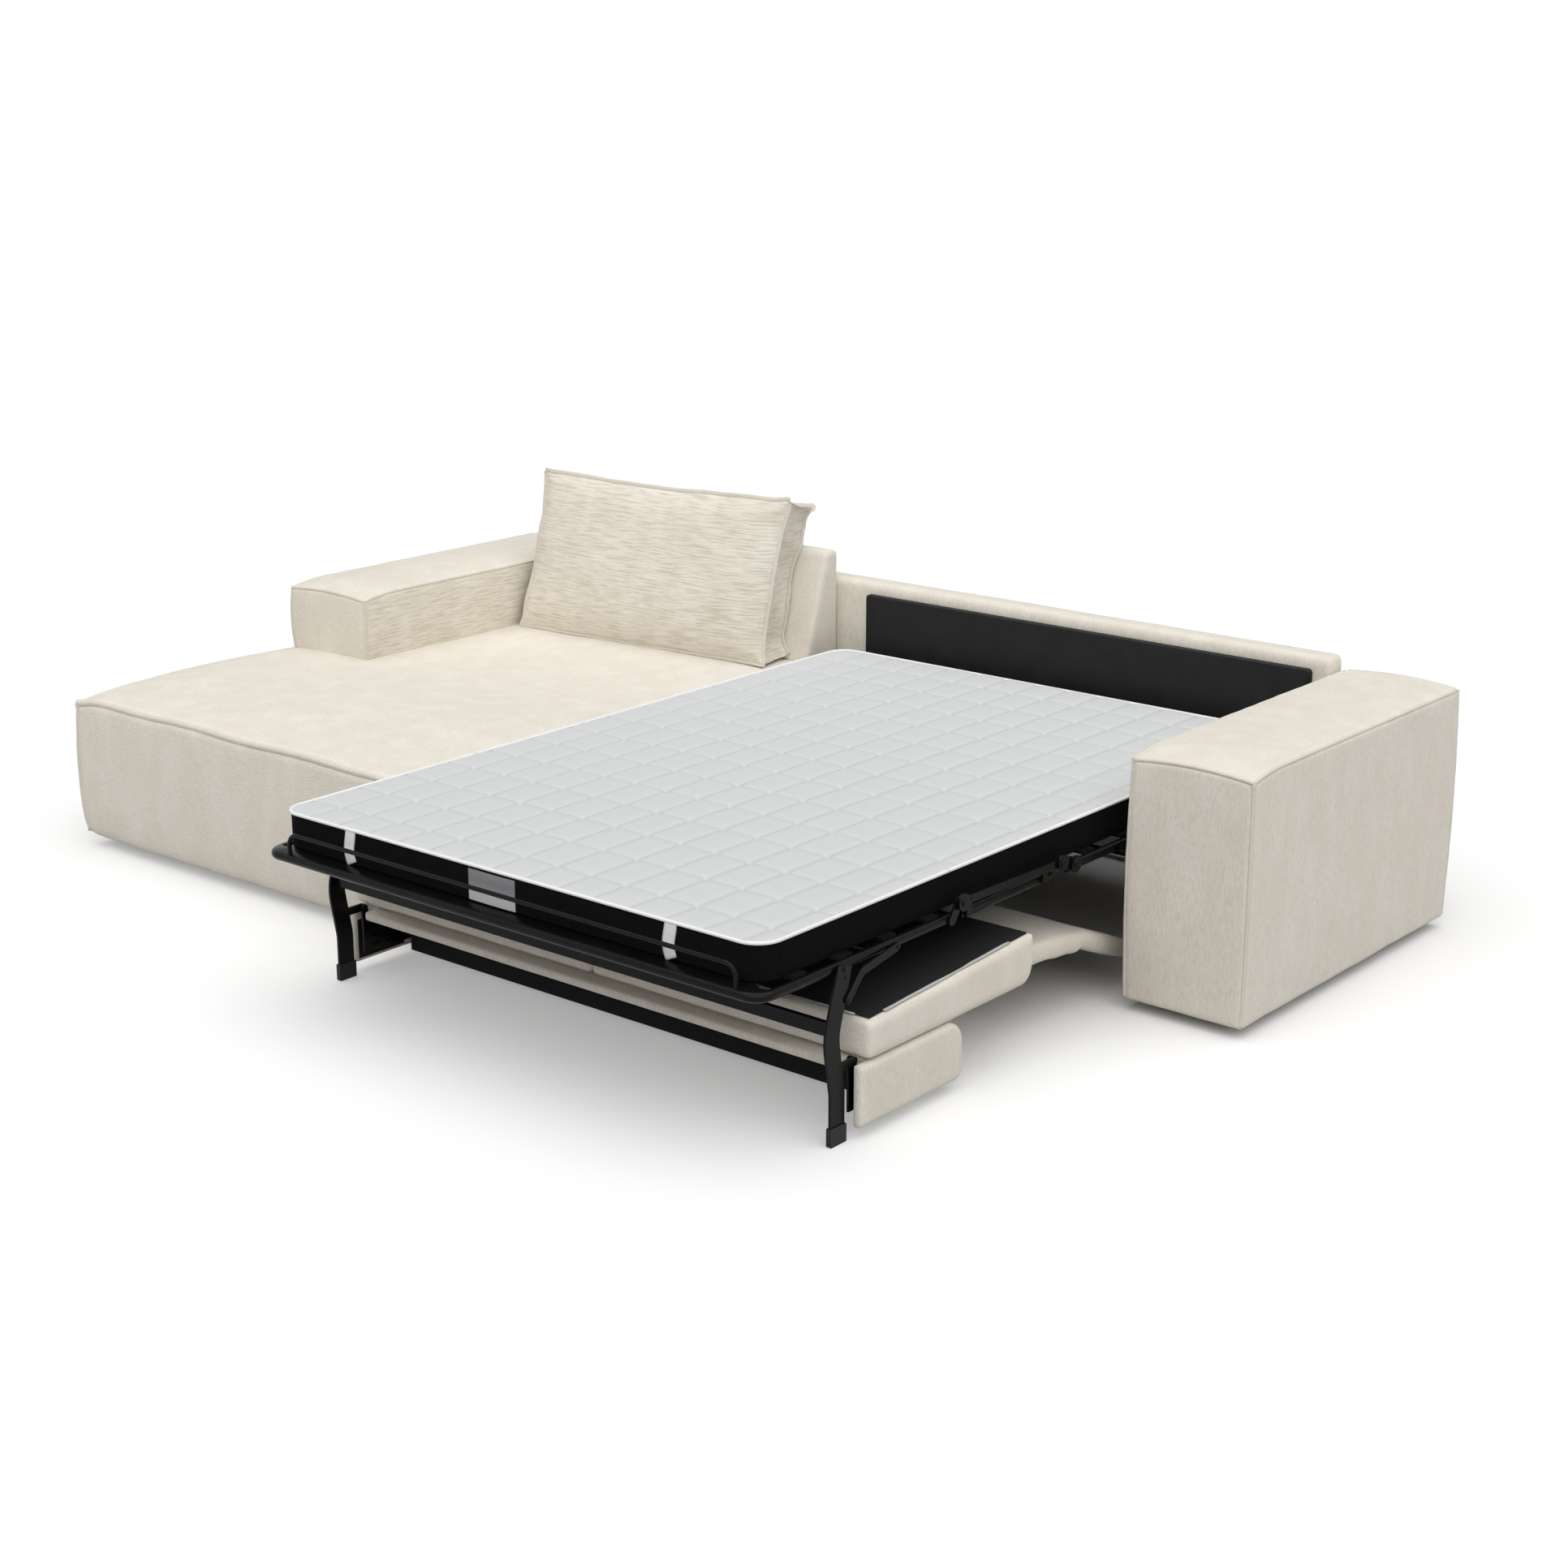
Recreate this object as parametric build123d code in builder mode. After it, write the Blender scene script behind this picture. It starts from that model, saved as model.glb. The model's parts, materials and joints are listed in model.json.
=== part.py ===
"""Corner sofa bed, shown unfolded: chaise, arms and backs, with a folding bed between them.

Frame: X to the right along the back, Y towards the back, Z up, millimetres.
The origin lies on the floor under the middle of the open bed and sofa together.
The bed's parts are drawn in side view, on planes across X, as (y, z) outlines.
"""
import os
from math import cos, radians, sin, tan

from build123d import *

# Clearances
REST_GAP = 0.3
RUN_GAP = 1.0
PIN_GAP = 0.1

# Mattress
MATTRESS_WIDTH = 1400.0
MATTRESS_LENGTH = 2000.0
MATTRESS_THICK = 85.0
MATTRESS_BASE = 383.0
MATTRESS_CROWN = 6.0
MATTRESS_CORNER = 55.0
FOLD_LENGTH = 70.0
STRAP_WIDTH = 35.0
STRAP_INSET = 235.0
STRAP_THICK = 1.5
LABEL_WIDTH = 136.0
LABEL_HEIGHT = 68.0
LABEL_LEFT = 602.0

# Upholstered body
FOOT_HEIGHT = 25.0
FOOT_SIDE = 50.0
FOOT_INSET = 120.0
SIDE_GAP = 70.0
CHAISE_WIDTH = 1283.0
CHAISE_LENGTH = 1732.0
CHAISE_HEIGHT = 421.0
CHAISE_FRONT_DROP = 30.0
CHAISE_RISE_LENGTH = 760.0
ARM_WIDTH = 306.0
ARM_LENGTH = 986.0
ARM_HEIGHT = 614.0
ARM_FRONT_DROP = 16.0
ARM_FRONT_RUN = 130.0
LEFT_ARM_WIDTH = 318.0
PAD_BULGE = 5.0
PAD_CROWN = 12.0
BACK_HEIGHT = 642.0
BACK_THICK = 77.0
BACK_ROUND = 18.0
CHAISE_BACK_HEIGHT = 724.0
CHAISE_BACK_THICK = 146.0
CHAISE_BACK_ROUND = 22.0
PANEL_THICK = 16.0
PANEL_TOP = 609.0
PANEL_BOTTOM = 300.0
PANEL_INSET = 40.0
PANEL_OVERHANG = 20.0
PANEL_CORNER = 10.0
PANEL_EDGE = 3.0
HEAD_CLEAR = 62.0

# Loose back cushion on the chaise
CUSHION_HEIGHT = 436.0
CUSHION_THICK = 115.0
CUSHION_CROWN = 34.0
CUSHION_CROWN_ACROSS = 42.0
CUSHION_DRAW_IN = 14.0
CUSHION_LEAN = 17.0
CUSHION_TURN = 4.6
CUSHION_RIGHT_INSET = 60.0

# Bed frame
TUBE_DIA = 22.0
CROSS_TUBE_DIA = 18.0
SLAT_WIDTH = 45.0
SLAT_THICK = 6.7
SLAT_PITCH = 150.0
FOOT_TUBE_GAP = 15.0
FOOT_BEND = 38.0
FOOT_BEND_RADIUS = 37.0
SECTION_GAP = 14.0
FIRST_PIVOT_Y = 597.0
FIRST_PIVOT_Z = 400.0
MAIN_PIVOT_Y = 962.0
MAIN_PIVOT_Z = 392.0
THIRD_PIVOT_Y = 1023.0
THIRD_PIVOT_Z = 374.0
PIVOT_BOSS_DIA = 38.0
PIVOT_BOSS_THICK = 6.0
LINK_WIDTH = 18.0
LINK_THICK = 5.0
PLATE_WIDTH = 30.0
LEVER_WIDTH = 23.0
MID_SLAT_END = 785.0
HOOP_ROD = 10.0
HOOP_LEFT = 60.0
HOOP_RIGHT = 1355.0
HOOP_RISE = 57.0
HOOP_BEND = 26.0

# Legs at the foot end
LEG_WIDTH = 44.0
LEG_THICK = 6.0
LEG_TOP_Y = 213.0
LEG_BEND_Y = 171.0
LEG_BEND_Z = 228.0
LEG_FOOT_Y = 191.0
LEG_STRAIGHT_Z = 110.0
LEG_BEND_RADIUS = 120.0
LEG_SIDE_GAP = 2.0
CAP_HEIGHT = 40.0
CAP_WALL = 3.0
BRACE_WIDTH = 18.0
BRACE_THICK = 4.0
BRACE_LOW_Y = 217.0
BRACE_LOW_Z = 296.0
BRACE_BEND_Y = 262.0
BRACE_BEND_Z = 345.0
BRACE_END_Y = 378.0
BRACE_BEND_RADIUS = 30.0
CROSSBAR_Y = 168.0
CROSSBAR_DEPTH = 12.0
CROSSBAR_Z = 233.0
CROSSBAR_HEIGHT = 29.0

# Seat, hanging upside down under the open bed
SEAT_OVERHANG = 60.0
SEAT_START = 255.0
SEAT_DEPTH = 575.0
SEAT_FACE_Z = 164.0
SEAT_REAR_THICK = 81.0
SEAT_FRONT_THICK = 110.0
SEAT_CROWN = 3.0
SEAT_NOSE_ROUND = 42.0
SEAT_EDGE = 6.0
SEAT_SPLIT = 2.0
COVER_THICK = 4.0
COVER_INSET = 14.0
HANGER_WIDTH = 40.0
HANGER_THICK = 6.0
HANGER_FIRST = 330.0
HANGER_INSET = 240.0
LIP_LENGTH = 262.0
LIP_TOP = 215.0
LIP_TOP_DROP = 24.0
LIP_MID_DROP = 7.0
LIP_THICK = 52.0
LIP_OVERHANG = 5.0
APRON_LENGTH = 190.0
APRON_THICK = 46.0
APRON_SLOPE = 22.0

# Backrest, folded flat under the open seat
BACKREST_START = 230.0
BACKREST_HEIGHT = 345.0
BACKREST_THICK = 133.0
BACKREST_BASE = 25.0
BACKREST_TOP_ROUND = 48.0
BACKREST_REAR_ROUND = 22.0
BACKREST_EDGE = 7.0
RECESS_DEPTH = 142.0
RECESS_CEILING = 22.0
RECESS_CHEEK = 24.0
LEG_SLOT_DEPTH = 58.0
LEG_SLOT_WIDTH = 34.0
PIVOT_NOTCH = 46.0
LINER_THICK = 1.5
BACKREST_PIVOT_Y = 245.0
BACKREST_PIVOT_Z = 160.0
BACKREST_PIN_DIA = 12.0
EAR_DIA = 18.0
BRACKET_THICK = 5.0
BRACKET_LOW = 50.0
BRACKET_HIGH = 130.0
BRACKET_FRONT = 238.0
BRACKET_SLOT = 9.0
BRACKET_SLOT_LENGTH = 20.0
BRACKET_SLOT_PITCH = 40.0
BRACKET_SLOT_ROWS = 22.0
BRACKET_SLOT_START = 35.0

# Swing arms that lower the bed into the sofa
SWING_LENGTH = 340.0
SWING_RISE = 22.0
SWING_WIDTH = 28.0
SWING_THICK = 5.0
SWING_PIN_DIA = 12.0
SWING_FRONT_Y = 1530.0
SWING_SPACING = 400.0
RAIL_THICK = 6.0
RAIL_HEIGHT = 60.0
RAIL_END = 40.0
RAIL_SIDE_GAP = 19.0
SPACER_DIA = 24.0
REAR_RAIL_DEPTH = 12.0
REAR_RAIL_HEIGHT = 30.0

# Places across the sofa
sofa_width = CHAISE_WIDTH + SIDE_GAP + MATTRESS_WIDTH + SIDE_GAP + ARM_WIDTH
chaise_left = -sofa_width / 2
chaise_right = chaise_left + CHAISE_WIDTH
bed_left = chaise_right + SIDE_GAP
bed_right = bed_left + MATTRESS_WIDTH
bed_mid = (bed_left + bed_right) / 2
left_arm_inner = chaise_left + LEFT_ARM_WIDTH
arm_inner = bed_right + SIDE_GAP
arm_outer = arm_inner + ARM_WIDTH
tube_x = bed_right + TUBE_DIA / 2
tube_side = bed_right + TUBE_DIA
leg_x = tube_side + LEG_SIDE_GAP
swing_x = tube_side + LEG_SIDE_GAP
rail_x = tube_side + RAIL_SIDE_GAP
seat_left = bed_left - SEAT_OVERHANG
seat_right = bed_right + SEAT_OVERHANG
lip_left = bed_left - LIP_OVERHANG
lip_right = bed_right + LIP_OVERHANG

# Places along the bed
foot_overhang = FOOT_TUBE_GAP + TUBE_DIA
back_front = MATTRESS_LENGTH + HEAD_CLEAR + PANEL_THICK
rear = back_front + BACK_THICK
foot_y = foot_overhang - (foot_overhang + rear) / 2
frame_z = MATTRESS_BASE - REST_GAP - SLAT_THICK - TUBE_DIA / 2
slat_z = frame_z + TUBE_DIA / 2
mattress_top = MATTRESS_BASE + MATTRESS_THICK
swing_z = frame_z - SWING_LENGTH * sin(radians(SWING_RISE))
swing_reach = SWING_LENGTH * cos(radians(SWING_RISE))
seat_end = SEAT_START + SEAT_DEPTH
recess_wall = BACKREST_START + RECESS_DEPTH
cheek_right = seat_right - RECESS_CHEEK
lip_end = seat_end + LIP_LENGTH
apron_y = lip_end + APRON_THICK / 2 + REST_GAP
apron_z = LIP_TOP - LIP_TOP_DROP - LIP_THICK / 2
chaise_front = rear - CHAISE_LENGTH
frame_centre = Plane.YZ.offset(bed_mid)


def along(distance):
    """The y of a place, given as a distance from the mattress's foot."""
    return foot_y + distance


def side(x):
    """The plane of a side view at x, with outlines drawn in y and z."""
    return Plane.YZ.offset(x)


def padded_outline(left, right, low, high, bulge, crown):
    """A rectangle with a flat base, bulged sides and a crowned top."""
    mid = (left + right) / 2
    half = (low + high) / 2
    edge = high - crown
    with BuildLine() as outline:
        Line((left, low), (right, low))
        if bulge:
            ThreePointArc((right, low), (right + bulge, half), (right, edge))
            ThreePointArc((left, edge), (left - bulge, half), (left, low))
        else:
            Line((right, low), (right, edge))
            Line((left, edge), (left, low))
        ThreePointArc((right, edge), (mid, high), (left, edge))
    make_face(outline.edges())


def arm_block(left, right, low):
    """An upholstered arm: bulged on all four sides, crowned across and dropping at the front."""
    front = along(rear - ARM_LENGTH)
    end = along(rear) - PAD_BULGE
    front_top = ARM_HEIGHT - ARM_FRONT_DROP
    spare = 4 * PAD_BULGE
    with BuildSketch(Plane.XZ.offset(-front + spare)) as front_view:
        padded_outline(left, right, low, ARM_HEIGHT, PAD_BULGE, PAD_CROWN)
    extrude(front_view.sketch, amount=-(end - front + 2 * spare))
    with BuildLine() as outline:
        Line((end, low), (front, low))
        ThreePointArc((front, low), (front - PAD_BULGE, (low + front_top) / 2), (front, front_top))
        over = ARM_HEIGHT + RUN_GAP
        fall = (front + ARM_FRONT_RUN, over)
        TangentArc(fall, (front, front_top), tangent=(-1, 0), tangent_from_first=True)
        Line(fall, (end, over))
        ThreePointArc((end, over), (end + PAD_BULGE, (low + over) / 2), (end, low))
    with BuildSketch(side(left - spare)) as side_view:
        make_face(outline.edges())
    extrude(side_view.sketch, amount=right - left + 2 * spare, mode=Mode.INTERSECT)


def slot_between(start, end, width):
    """A slot outline from one point to another."""
    line = Vector(*end) - Vector(*start)
    middle = (Vector(*start) + Vector(*end)) / 2
    angle = Vector(1, 0, 0).get_signed_angle(line, Vector(0, 0, 1))
    with Locations(middle):
        SlotCenterToCenter(line.length, width, rotation=angle)


def bar(x, thick, start, end, width):
    """A flat bar with round ends between two (y, z) points."""
    with BuildSketch(side(x)) as outline:
        slot_between(start, end, width)
    extrude(outline.sketch, amount=thick)


def pin(x, length, centre, diameter, mode=Mode.ADD):
    """A pin along X at a (y, z) point, or a hole for one."""
    with BuildSketch(side(x)) as outline:
        with Locations(centre):
            Circle(diameter / 2)
    extrude(outline.sketch, amount=length, mode=mode)


def drill(x, length, centre, diameter):
    """A hole along X at a (y, z) point, with room for its pin to turn."""
    pin(x, length, centre, diameter + 2 * PIN_GAP, Mode.SUBTRACT)


def tube_along(start, end, x, diameter):
    """A straight tube along the bed at x."""
    with BuildSketch(Plane.XZ.offset(-along(start))) as outline:
        with Locations((x, frame_z)):
            Circle(diameter / 2)
    extrude(outline.sketch, amount=-(end - start))


def cross_tube(distance, diameter):
    """A tube across the bed, between the side tubes."""
    pin(bed_left, MATTRESS_WIDTH, (along(distance), frame_z), diameter)


def slats(start, end):
    """Flat slats across the bed, evenly spaced over a section."""
    count = max(2, round((end - start) / SLAT_PITCH))
    pitch = (end - start) / count
    for index in range(count):
        centre = start + pitch * (index + 0.5)
        with BuildSketch(Plane.XY.offset(slat_z)) as outline:
            with Locations((bed_mid, along(centre))):
                Rectangle(MATTRESS_WIDTH + TUBE_DIA, SLAT_WIDTH)
        extrude(outline.sketch, amount=SLAT_THICK)


def mattress_section(start, end):
    """A length of the mattress, with its crowned top and slightly full sides."""
    with BuildSketch(Plane.XZ.offset(-along(start))) as outline:
        padded_outline(bed_left, bed_right, MATTRESS_BASE, mattress_top, 0, MATTRESS_CROWN)
    extrude(outline.sketch, amount=-(end - start))


# Chaise, arms and backs
with BuildPart() as chaise_block:
    with BuildSketch(side(chaise_left - 4 * PAD_BULGE)):
        with BuildLine():
            front = along(chaise_front)
            rise = front + CHAISE_RISE_LENGTH
            low_top = CHAISE_HEIGHT - CHAISE_FRONT_DROP
            Line((along(rear), FOOT_HEIGHT), (front, FOOT_HEIGHT))
            ThreePointArc(
                (front, FOOT_HEIGHT),
                (front - 2 * PAD_BULGE, (FOOT_HEIGHT + low_top) / 2),
                (front, low_top),
            )
            TangentArc((rise, CHAISE_HEIGHT), (front, low_top), tangent=(-1, 0), tangent_from_first=True)
            Line((rise, CHAISE_HEIGHT), (along(rear), CHAISE_HEIGHT))
            Line((along(rear), CHAISE_HEIGHT), (along(rear), FOOT_HEIGHT))
        make_face()
    extrude(amount=CHAISE_WIDTH + 8 * PAD_BULGE)
    with BuildSketch(Plane.XZ.offset(-along(chaise_front) + 4 * PAD_BULGE)):
        padded_outline(chaise_left, chaise_right, FOOT_HEIGHT, CHAISE_HEIGHT, PAD_BULGE, PAD_CROWN)
    extrude(amount=-(CHAISE_LENGTH + 8 * PAD_BULGE), mode=Mode.INTERSECT)

with BuildPart() as left_arm:
    arm_block(chaise_left + PAD_BULGE, left_arm_inner, CHAISE_HEIGHT - 2 * PAD_CROWN)
    add(chaise_block.part, mode=Mode.SUBTRACT)

with BuildPart() as right_arm:
    arm_block(arm_inner, arm_outer, FOOT_HEIGHT)

with BuildPart() as chaise_back:
    back_low = CHAISE_HEIGHT - 2 * PAD_CROWN
    lean = (CHAISE_BACK_HEIGHT - back_low) * tan(radians(CUSHION_LEAN))
    back_left = left_arm_inner + 2 * PAD_BULGE
    pad_rear = along(back_front) - REST_GAP
    pad_front = pad_rear - CHAISE_BACK_THICK
    with BuildSketch(side(back_left)):
        with BuildLine():
            Polyline(
                (pad_rear, back_low),
                (pad_rear, CHAISE_BACK_HEIGHT),
                (pad_front + lean, CHAISE_BACK_HEIGHT),
                (pad_front, back_low),
                close=True,
            )
        make_face()
        fillet(vertices().group_by(Axis.Y)[-1], radius=CHAISE_BACK_ROUND)
    extrude(amount=chaise_right - back_left)
    add(chaise_block.part, mode=Mode.SUBTRACT)

with BuildPart() as long_back:
    back_x = chaise_right + PAD_BULGE + REST_GAP
    back_end = arm_inner - PAD_BULGE - REST_GAP
    over_chaise = CHAISE_HEIGHT + REST_GAP
    with BuildSketch(Plane.XZ.offset(-along(rear))):
        with BuildLine():
            Polyline(
                (back_left, BACK_HEIGHT),
                (back_left, over_chaise),
                (back_x, over_chaise),
                (back_x, FOOT_HEIGHT),
                (back_end, FOOT_HEIGHT),
                (back_end, BACK_HEIGHT),
                close=True,
            )
        make_face()
    extrude(amount=BACK_THICK)
    fillet(long_back.edges().filter_by(Axis.X).group_by(Axis.Z)[-1], radius=BACK_ROUND)

with BuildPart() as back_panel:
    panel_left = bed_left + PANEL_INSET
    panel_width = bed_right + PANEL_OVERHANG - panel_left
    with BuildSketch(Plane.XZ.offset(-along(back_front))):
        with Locations((panel_left + panel_width / 2, (PANEL_TOP + PANEL_BOTTOM) / 2)):
            RectangleRounded(panel_width, PANEL_TOP - PANEL_BOTTOM, PANEL_CORNER)
    extrude(amount=PANEL_THICK)
    chamfer(back_panel.faces().sort_by(Axis.Y)[0].edges(), length=PANEL_EDGE)

with BuildPart() as sofa_feet:
    chaise_depth = CHAISE_LENGTH - 2 * FOOT_INSET
    with BuildSketch():
        with Locations(((chaise_left + chaise_right) / 2, along(rear - CHAISE_LENGTH / 2))):
            with GridLocations(CHAISE_WIDTH - 2 * FOOT_INSET, chaise_depth, 2, 2):
                Rectangle(FOOT_SIDE, FOOT_SIDE)
        with Locations(((arm_inner + arm_outer) / 2, along(rear - ARM_LENGTH / 2))):
            with GridLocations(ARM_WIDTH - 2 * FOOT_INSET, ARM_LENGTH - 2 * FOOT_INSET, 2, 2):
                Rectangle(FOOT_SIDE, FOOT_SIDE)
        with Locations((bed_mid, along(rear - BACK_THICK / 2))):
            with GridLocations(MATTRESS_WIDTH / 2, 0, 2, 1):
                Rectangle(FOOT_SIDE, FOOT_SIDE)
    extrude(amount=FOOT_HEIGHT)

# Rails and swing arms inside the sofa
swing_rear_y = SWING_FRONT_Y + SWING_SPACING
rail_start = SWING_FRONT_Y - RAIL_END
rail_length = back_front - rail_start
rail_low = swing_z - RAIL_HEIGHT / 2

with BuildPart() as side_rails:
    with BuildSketch(side(rail_x)):
        with Locations((along(rail_start), rail_low)):
            Rectangle(rail_length, RAIL_HEIGHT, align=(Align.MIN, Align.MIN))
        fillet(vertices().group_by(Axis.X)[0], radius=RAIL_HEIGHT / 3)
    extrude(amount=RAIL_THICK)
    mirror(about=frame_centre)

with BuildPart() as rail_spacers:
    for distance in (SWING_FRONT_Y + RAIL_END, swing_rear_y - RAIL_END):
        pin(rail_x + RAIL_THICK, arm_inner - rail_x, (along(distance), swing_z), SPACER_DIA)
    mirror(about=frame_centre)
    add(right_arm.part, mode=Mode.SUBTRACT)
    add(chaise_block.part, mode=Mode.SUBTRACT)

with BuildPart() as rear_rail:
    with BuildSketch(side(2 * bed_mid - rail_x)):
        with Locations((along(back_front) - REAR_RAIL_DEPTH / 2, swing_z)):
            Rectangle(REAR_RAIL_DEPTH, REAR_RAIL_HEIGHT)
    extrude(amount=2 * (rail_x - bed_mid))

with BuildPart() as swing_base_pins:
    for distance in (SWING_FRONT_Y, swing_rear_y):
        pin(swing_x, rail_x - swing_x, (along(distance), swing_z), SWING_PIN_DIA)
    mirror(about=frame_centre)


def swing_arms(distance):
    """A pair of swing arms, from the rail up and forward to the bed frame."""
    low = (along(distance), swing_z)
    high = (along(distance - swing_reach), frame_z)
    bar(swing_x, SWING_THICK, low, high, SWING_WIDTH)
    for centre in (low, high):
        drill(swing_x, SWING_THICK, centre, SWING_PIN_DIA)
    mirror(about=frame_centre)


with BuildPart() as front_swing_arms:
    swing_arms(SWING_FRONT_Y)

with BuildPart() as rear_swing_arms:
    swing_arms(swing_rear_y)

with BuildPart() as swing_top_pins:
    for distance in (SWING_FRONT_Y, swing_rear_y):
        pin(tube_side, LEG_SIDE_GAP + SWING_THICK, (along(distance - swing_reach), frame_z), SWING_PIN_DIA)
    mirror(about=frame_centre)

# Head section of the bed
head_start = THIRD_PIVOT_Y - PIVOT_BOSS_DIA / 2
head_end = MATTRESS_LENGTH - SECTION_GAP

with BuildPart() as head_side_tubes:
    tube_along(head_start, head_end, tube_x, TUBE_DIA)
    mirror(about=frame_centre)

with BuildPart() as head_cross_tubes:
    for distance in (head_start + TUBE_DIA, (head_start + head_end) / 2, head_end - TUBE_DIA):
        cross_tube(distance, CROSS_TUBE_DIA)

with BuildPart() as head_slats:
    slats(head_start + TUBE_DIA, head_end - TUBE_DIA)

with BuildPart() as head_mattress:
    mattress_section(MAIN_PIVOT_Y + REST_GAP, MATTRESS_LENGTH)
    corners = head_mattress.edges().filter_by(Axis.Z).group_by(Axis.Y)[-1]
    fillet(corners, radius=MATTRESS_CORNER)

with BuildPart() as head_pivot_plates:
    main_pivot = (along(MAIN_PIVOT_Y), MAIN_PIVOT_Z)
    third_pivot = (along(THIRD_PIVOT_Y), THIRD_PIVOT_Z)
    bar(tube_side, LINK_THICK, main_pivot, third_pivot, PLATE_WIDTH)
    pin(tube_side + LINK_THICK, PIVOT_BOSS_THICK, third_pivot, PIVOT_BOSS_DIA)
    drill(tube_side, LINK_THICK, main_pivot, SWING_PIN_DIA)
    mirror(about=frame_centre)

# Middle section of the bed
mid_start = FIRST_PIVOT_Y + SECTION_GAP
mid_end = MAIN_PIVOT_Y - PIVOT_BOSS_DIA / 2

with BuildPart() as mid_side_tubes:
    tube_along(mid_start, mid_end, tube_x, TUBE_DIA)
    mirror(about=frame_centre)

with BuildPart() as mid_cross_tube:
    cross_tube((mid_start + mid_end) / 2, CROSS_TUBE_DIA)

with BuildPart() as mid_slats:
    slats(mid_start, MID_SLAT_END)

with BuildPart() as mid_mattress:
    mattress_section(FIRST_PIVOT_Y + REST_GAP, MAIN_PIVOT_Y - FOLD_LENGTH - REST_GAP)

with BuildPart() as fold_mattress:
    mattress_section(MAIN_PIVOT_Y - FOLD_LENGTH, MAIN_PIVOT_Y - REST_GAP)

link_x = tube_side + LINK_THICK + RUN_GAP

with BuildPart() as link_bars:
    first_pivot = (along(FIRST_PIVOT_Y), FIRST_PIVOT_Z)
    bar(link_x, LINK_THICK, first_pivot, main_pivot, LINK_WIDTH)
    pin(link_x + LINK_THICK, PIVOT_BOSS_THICK, main_pivot, PIVOT_BOSS_DIA)
    pin(tube_side, LINK_THICK + RUN_GAP, main_pivot, SWING_PIN_DIA)
    drill(link_x, LINK_THICK, first_pivot, SWING_PIN_DIA)
    mirror(about=frame_centre)

with BuildPart() as link_brackets:
    for distance in (mid_start + LINK_WIDTH, mid_end - 2 * LINK_WIDTH):
        share = (distance - FIRST_PIVOT_Y) / (MAIN_PIVOT_Y - FIRST_PIVOT_Y)
        link_z = FIRST_PIVOT_Z + share * (MAIN_PIVOT_Z - FIRST_PIVOT_Z)
        with BuildSketch(side(tube_side)):
            with Locations((along(distance), (link_z + frame_z) / 2)):
                Rectangle(LINK_WIDTH, link_z - frame_z + LINK_WIDTH / 2)
        extrude(amount=LINK_THICK + RUN_GAP)
    mirror(about=frame_centre)

# Foot section of the bed
foot_tube_y = -FOOT_TUBE_GAP - TUBE_DIA / 2
foot_bend_end = foot_tube_y + FOOT_BEND
foot_section_end = FIRST_PIVOT_Y - SECTION_GAP / 2
foot_cross_places = (HANGER_FIRST, foot_section_end - TUBE_DIA)

with BuildPart() as foot_end_tube:
    with BuildLine(Plane.XY.offset(frame_z)) as foot_path:
        FilletPolyline(
            (2 * bed_mid - tube_x, along(foot_bend_end)),
            (2 * bed_mid - tube_x, along(foot_tube_y)),
            (tube_x, along(foot_tube_y)),
            (tube_x, along(foot_bend_end)),
            radius=FOOT_BEND_RADIUS,
        )
    with BuildSketch(Plane(origin=foot_path.line @ 0, z_dir=foot_path.line % 0)):
        Circle(TUBE_DIA / 2)
    sweep()

with BuildPart() as foot_side_tubes:
    tube_along(foot_bend_end, foot_section_end, tube_x, TUBE_DIA)
    mirror(about=frame_centre)

with BuildPart() as foot_cross_tubes:
    for distance in foot_cross_places:
        cross_tube(distance, CROSS_TUBE_DIA)

with BuildPart() as foot_slats:
    slats(TUBE_DIA, foot_section_end)

with BuildPart() as foot_mattress:
    mattress_section(0, FIRST_PIVOT_Y - REST_GAP)
    corners = foot_mattress.edges().filter_by(Axis.Z).group_by(Axis.Y)[0]
    fillet(corners, radius=MATTRESS_CORNER)

with BuildPart() as mattress_straps:
    strap_height = MATTRESS_THICK - MATTRESS_CROWN
    with BuildSketch(Plane.XZ.offset(-along(0))):
        for strap_x in (bed_left + STRAP_INSET, bed_right - STRAP_INSET):
            with Locations((strap_x, MATTRESS_BASE + strap_height / 2)):
                Rectangle(STRAP_WIDTH, strap_height)
    extrude(amount=STRAP_THICK)

with BuildPart() as mattress_label:
    with BuildSketch(Plane.XZ.offset(-along(0))):
        with Locations((bed_left + LABEL_LEFT, MATTRESS_BASE + REST_GAP)):
            Rectangle(LABEL_WIDTH, LABEL_HEIGHT, align=(Align.MIN, Align.MIN))
    extrude(amount=STRAP_THICK / 2)

with BuildPart() as retainer_hoop:
    hoop_base = frame_z + TUBE_DIA / 2
    with BuildLine(Plane.XZ.offset(-along(foot_tube_y))) as hoop_path:
        FilletPolyline(
            (bed_left + HOOP_LEFT, hoop_base),
            (bed_left + HOOP_LEFT, frame_z + HOOP_RISE),
            (bed_left + HOOP_RIGHT, frame_z + HOOP_RISE),
            (bed_left + HOOP_RIGHT, hoop_base),
            radius=HOOP_BEND,
        )
    with BuildSketch(Plane(origin=hoop_path.line @ 0, z_dir=hoop_path.line % 0)):
        Circle(HOOP_ROD / 2)
    sweep()

with BuildPart() as first_pivot_levers:
    lever_low = (along(foot_section_end - LINK_WIDTH), frame_z)
    bar(tube_side, LINK_THICK, first_pivot, lever_low, LEVER_WIDTH)
    pin(tube_side + LINK_THICK, LINK_THICK + RUN_GAP, first_pivot, SWING_PIN_DIA)
    pin(link_x + LINK_THICK, PIVOT_BOSS_THICK, first_pivot, PIVOT_BOSS_DIA)
    mirror(about=frame_centre)

leg_base = CAP_WALL

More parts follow.
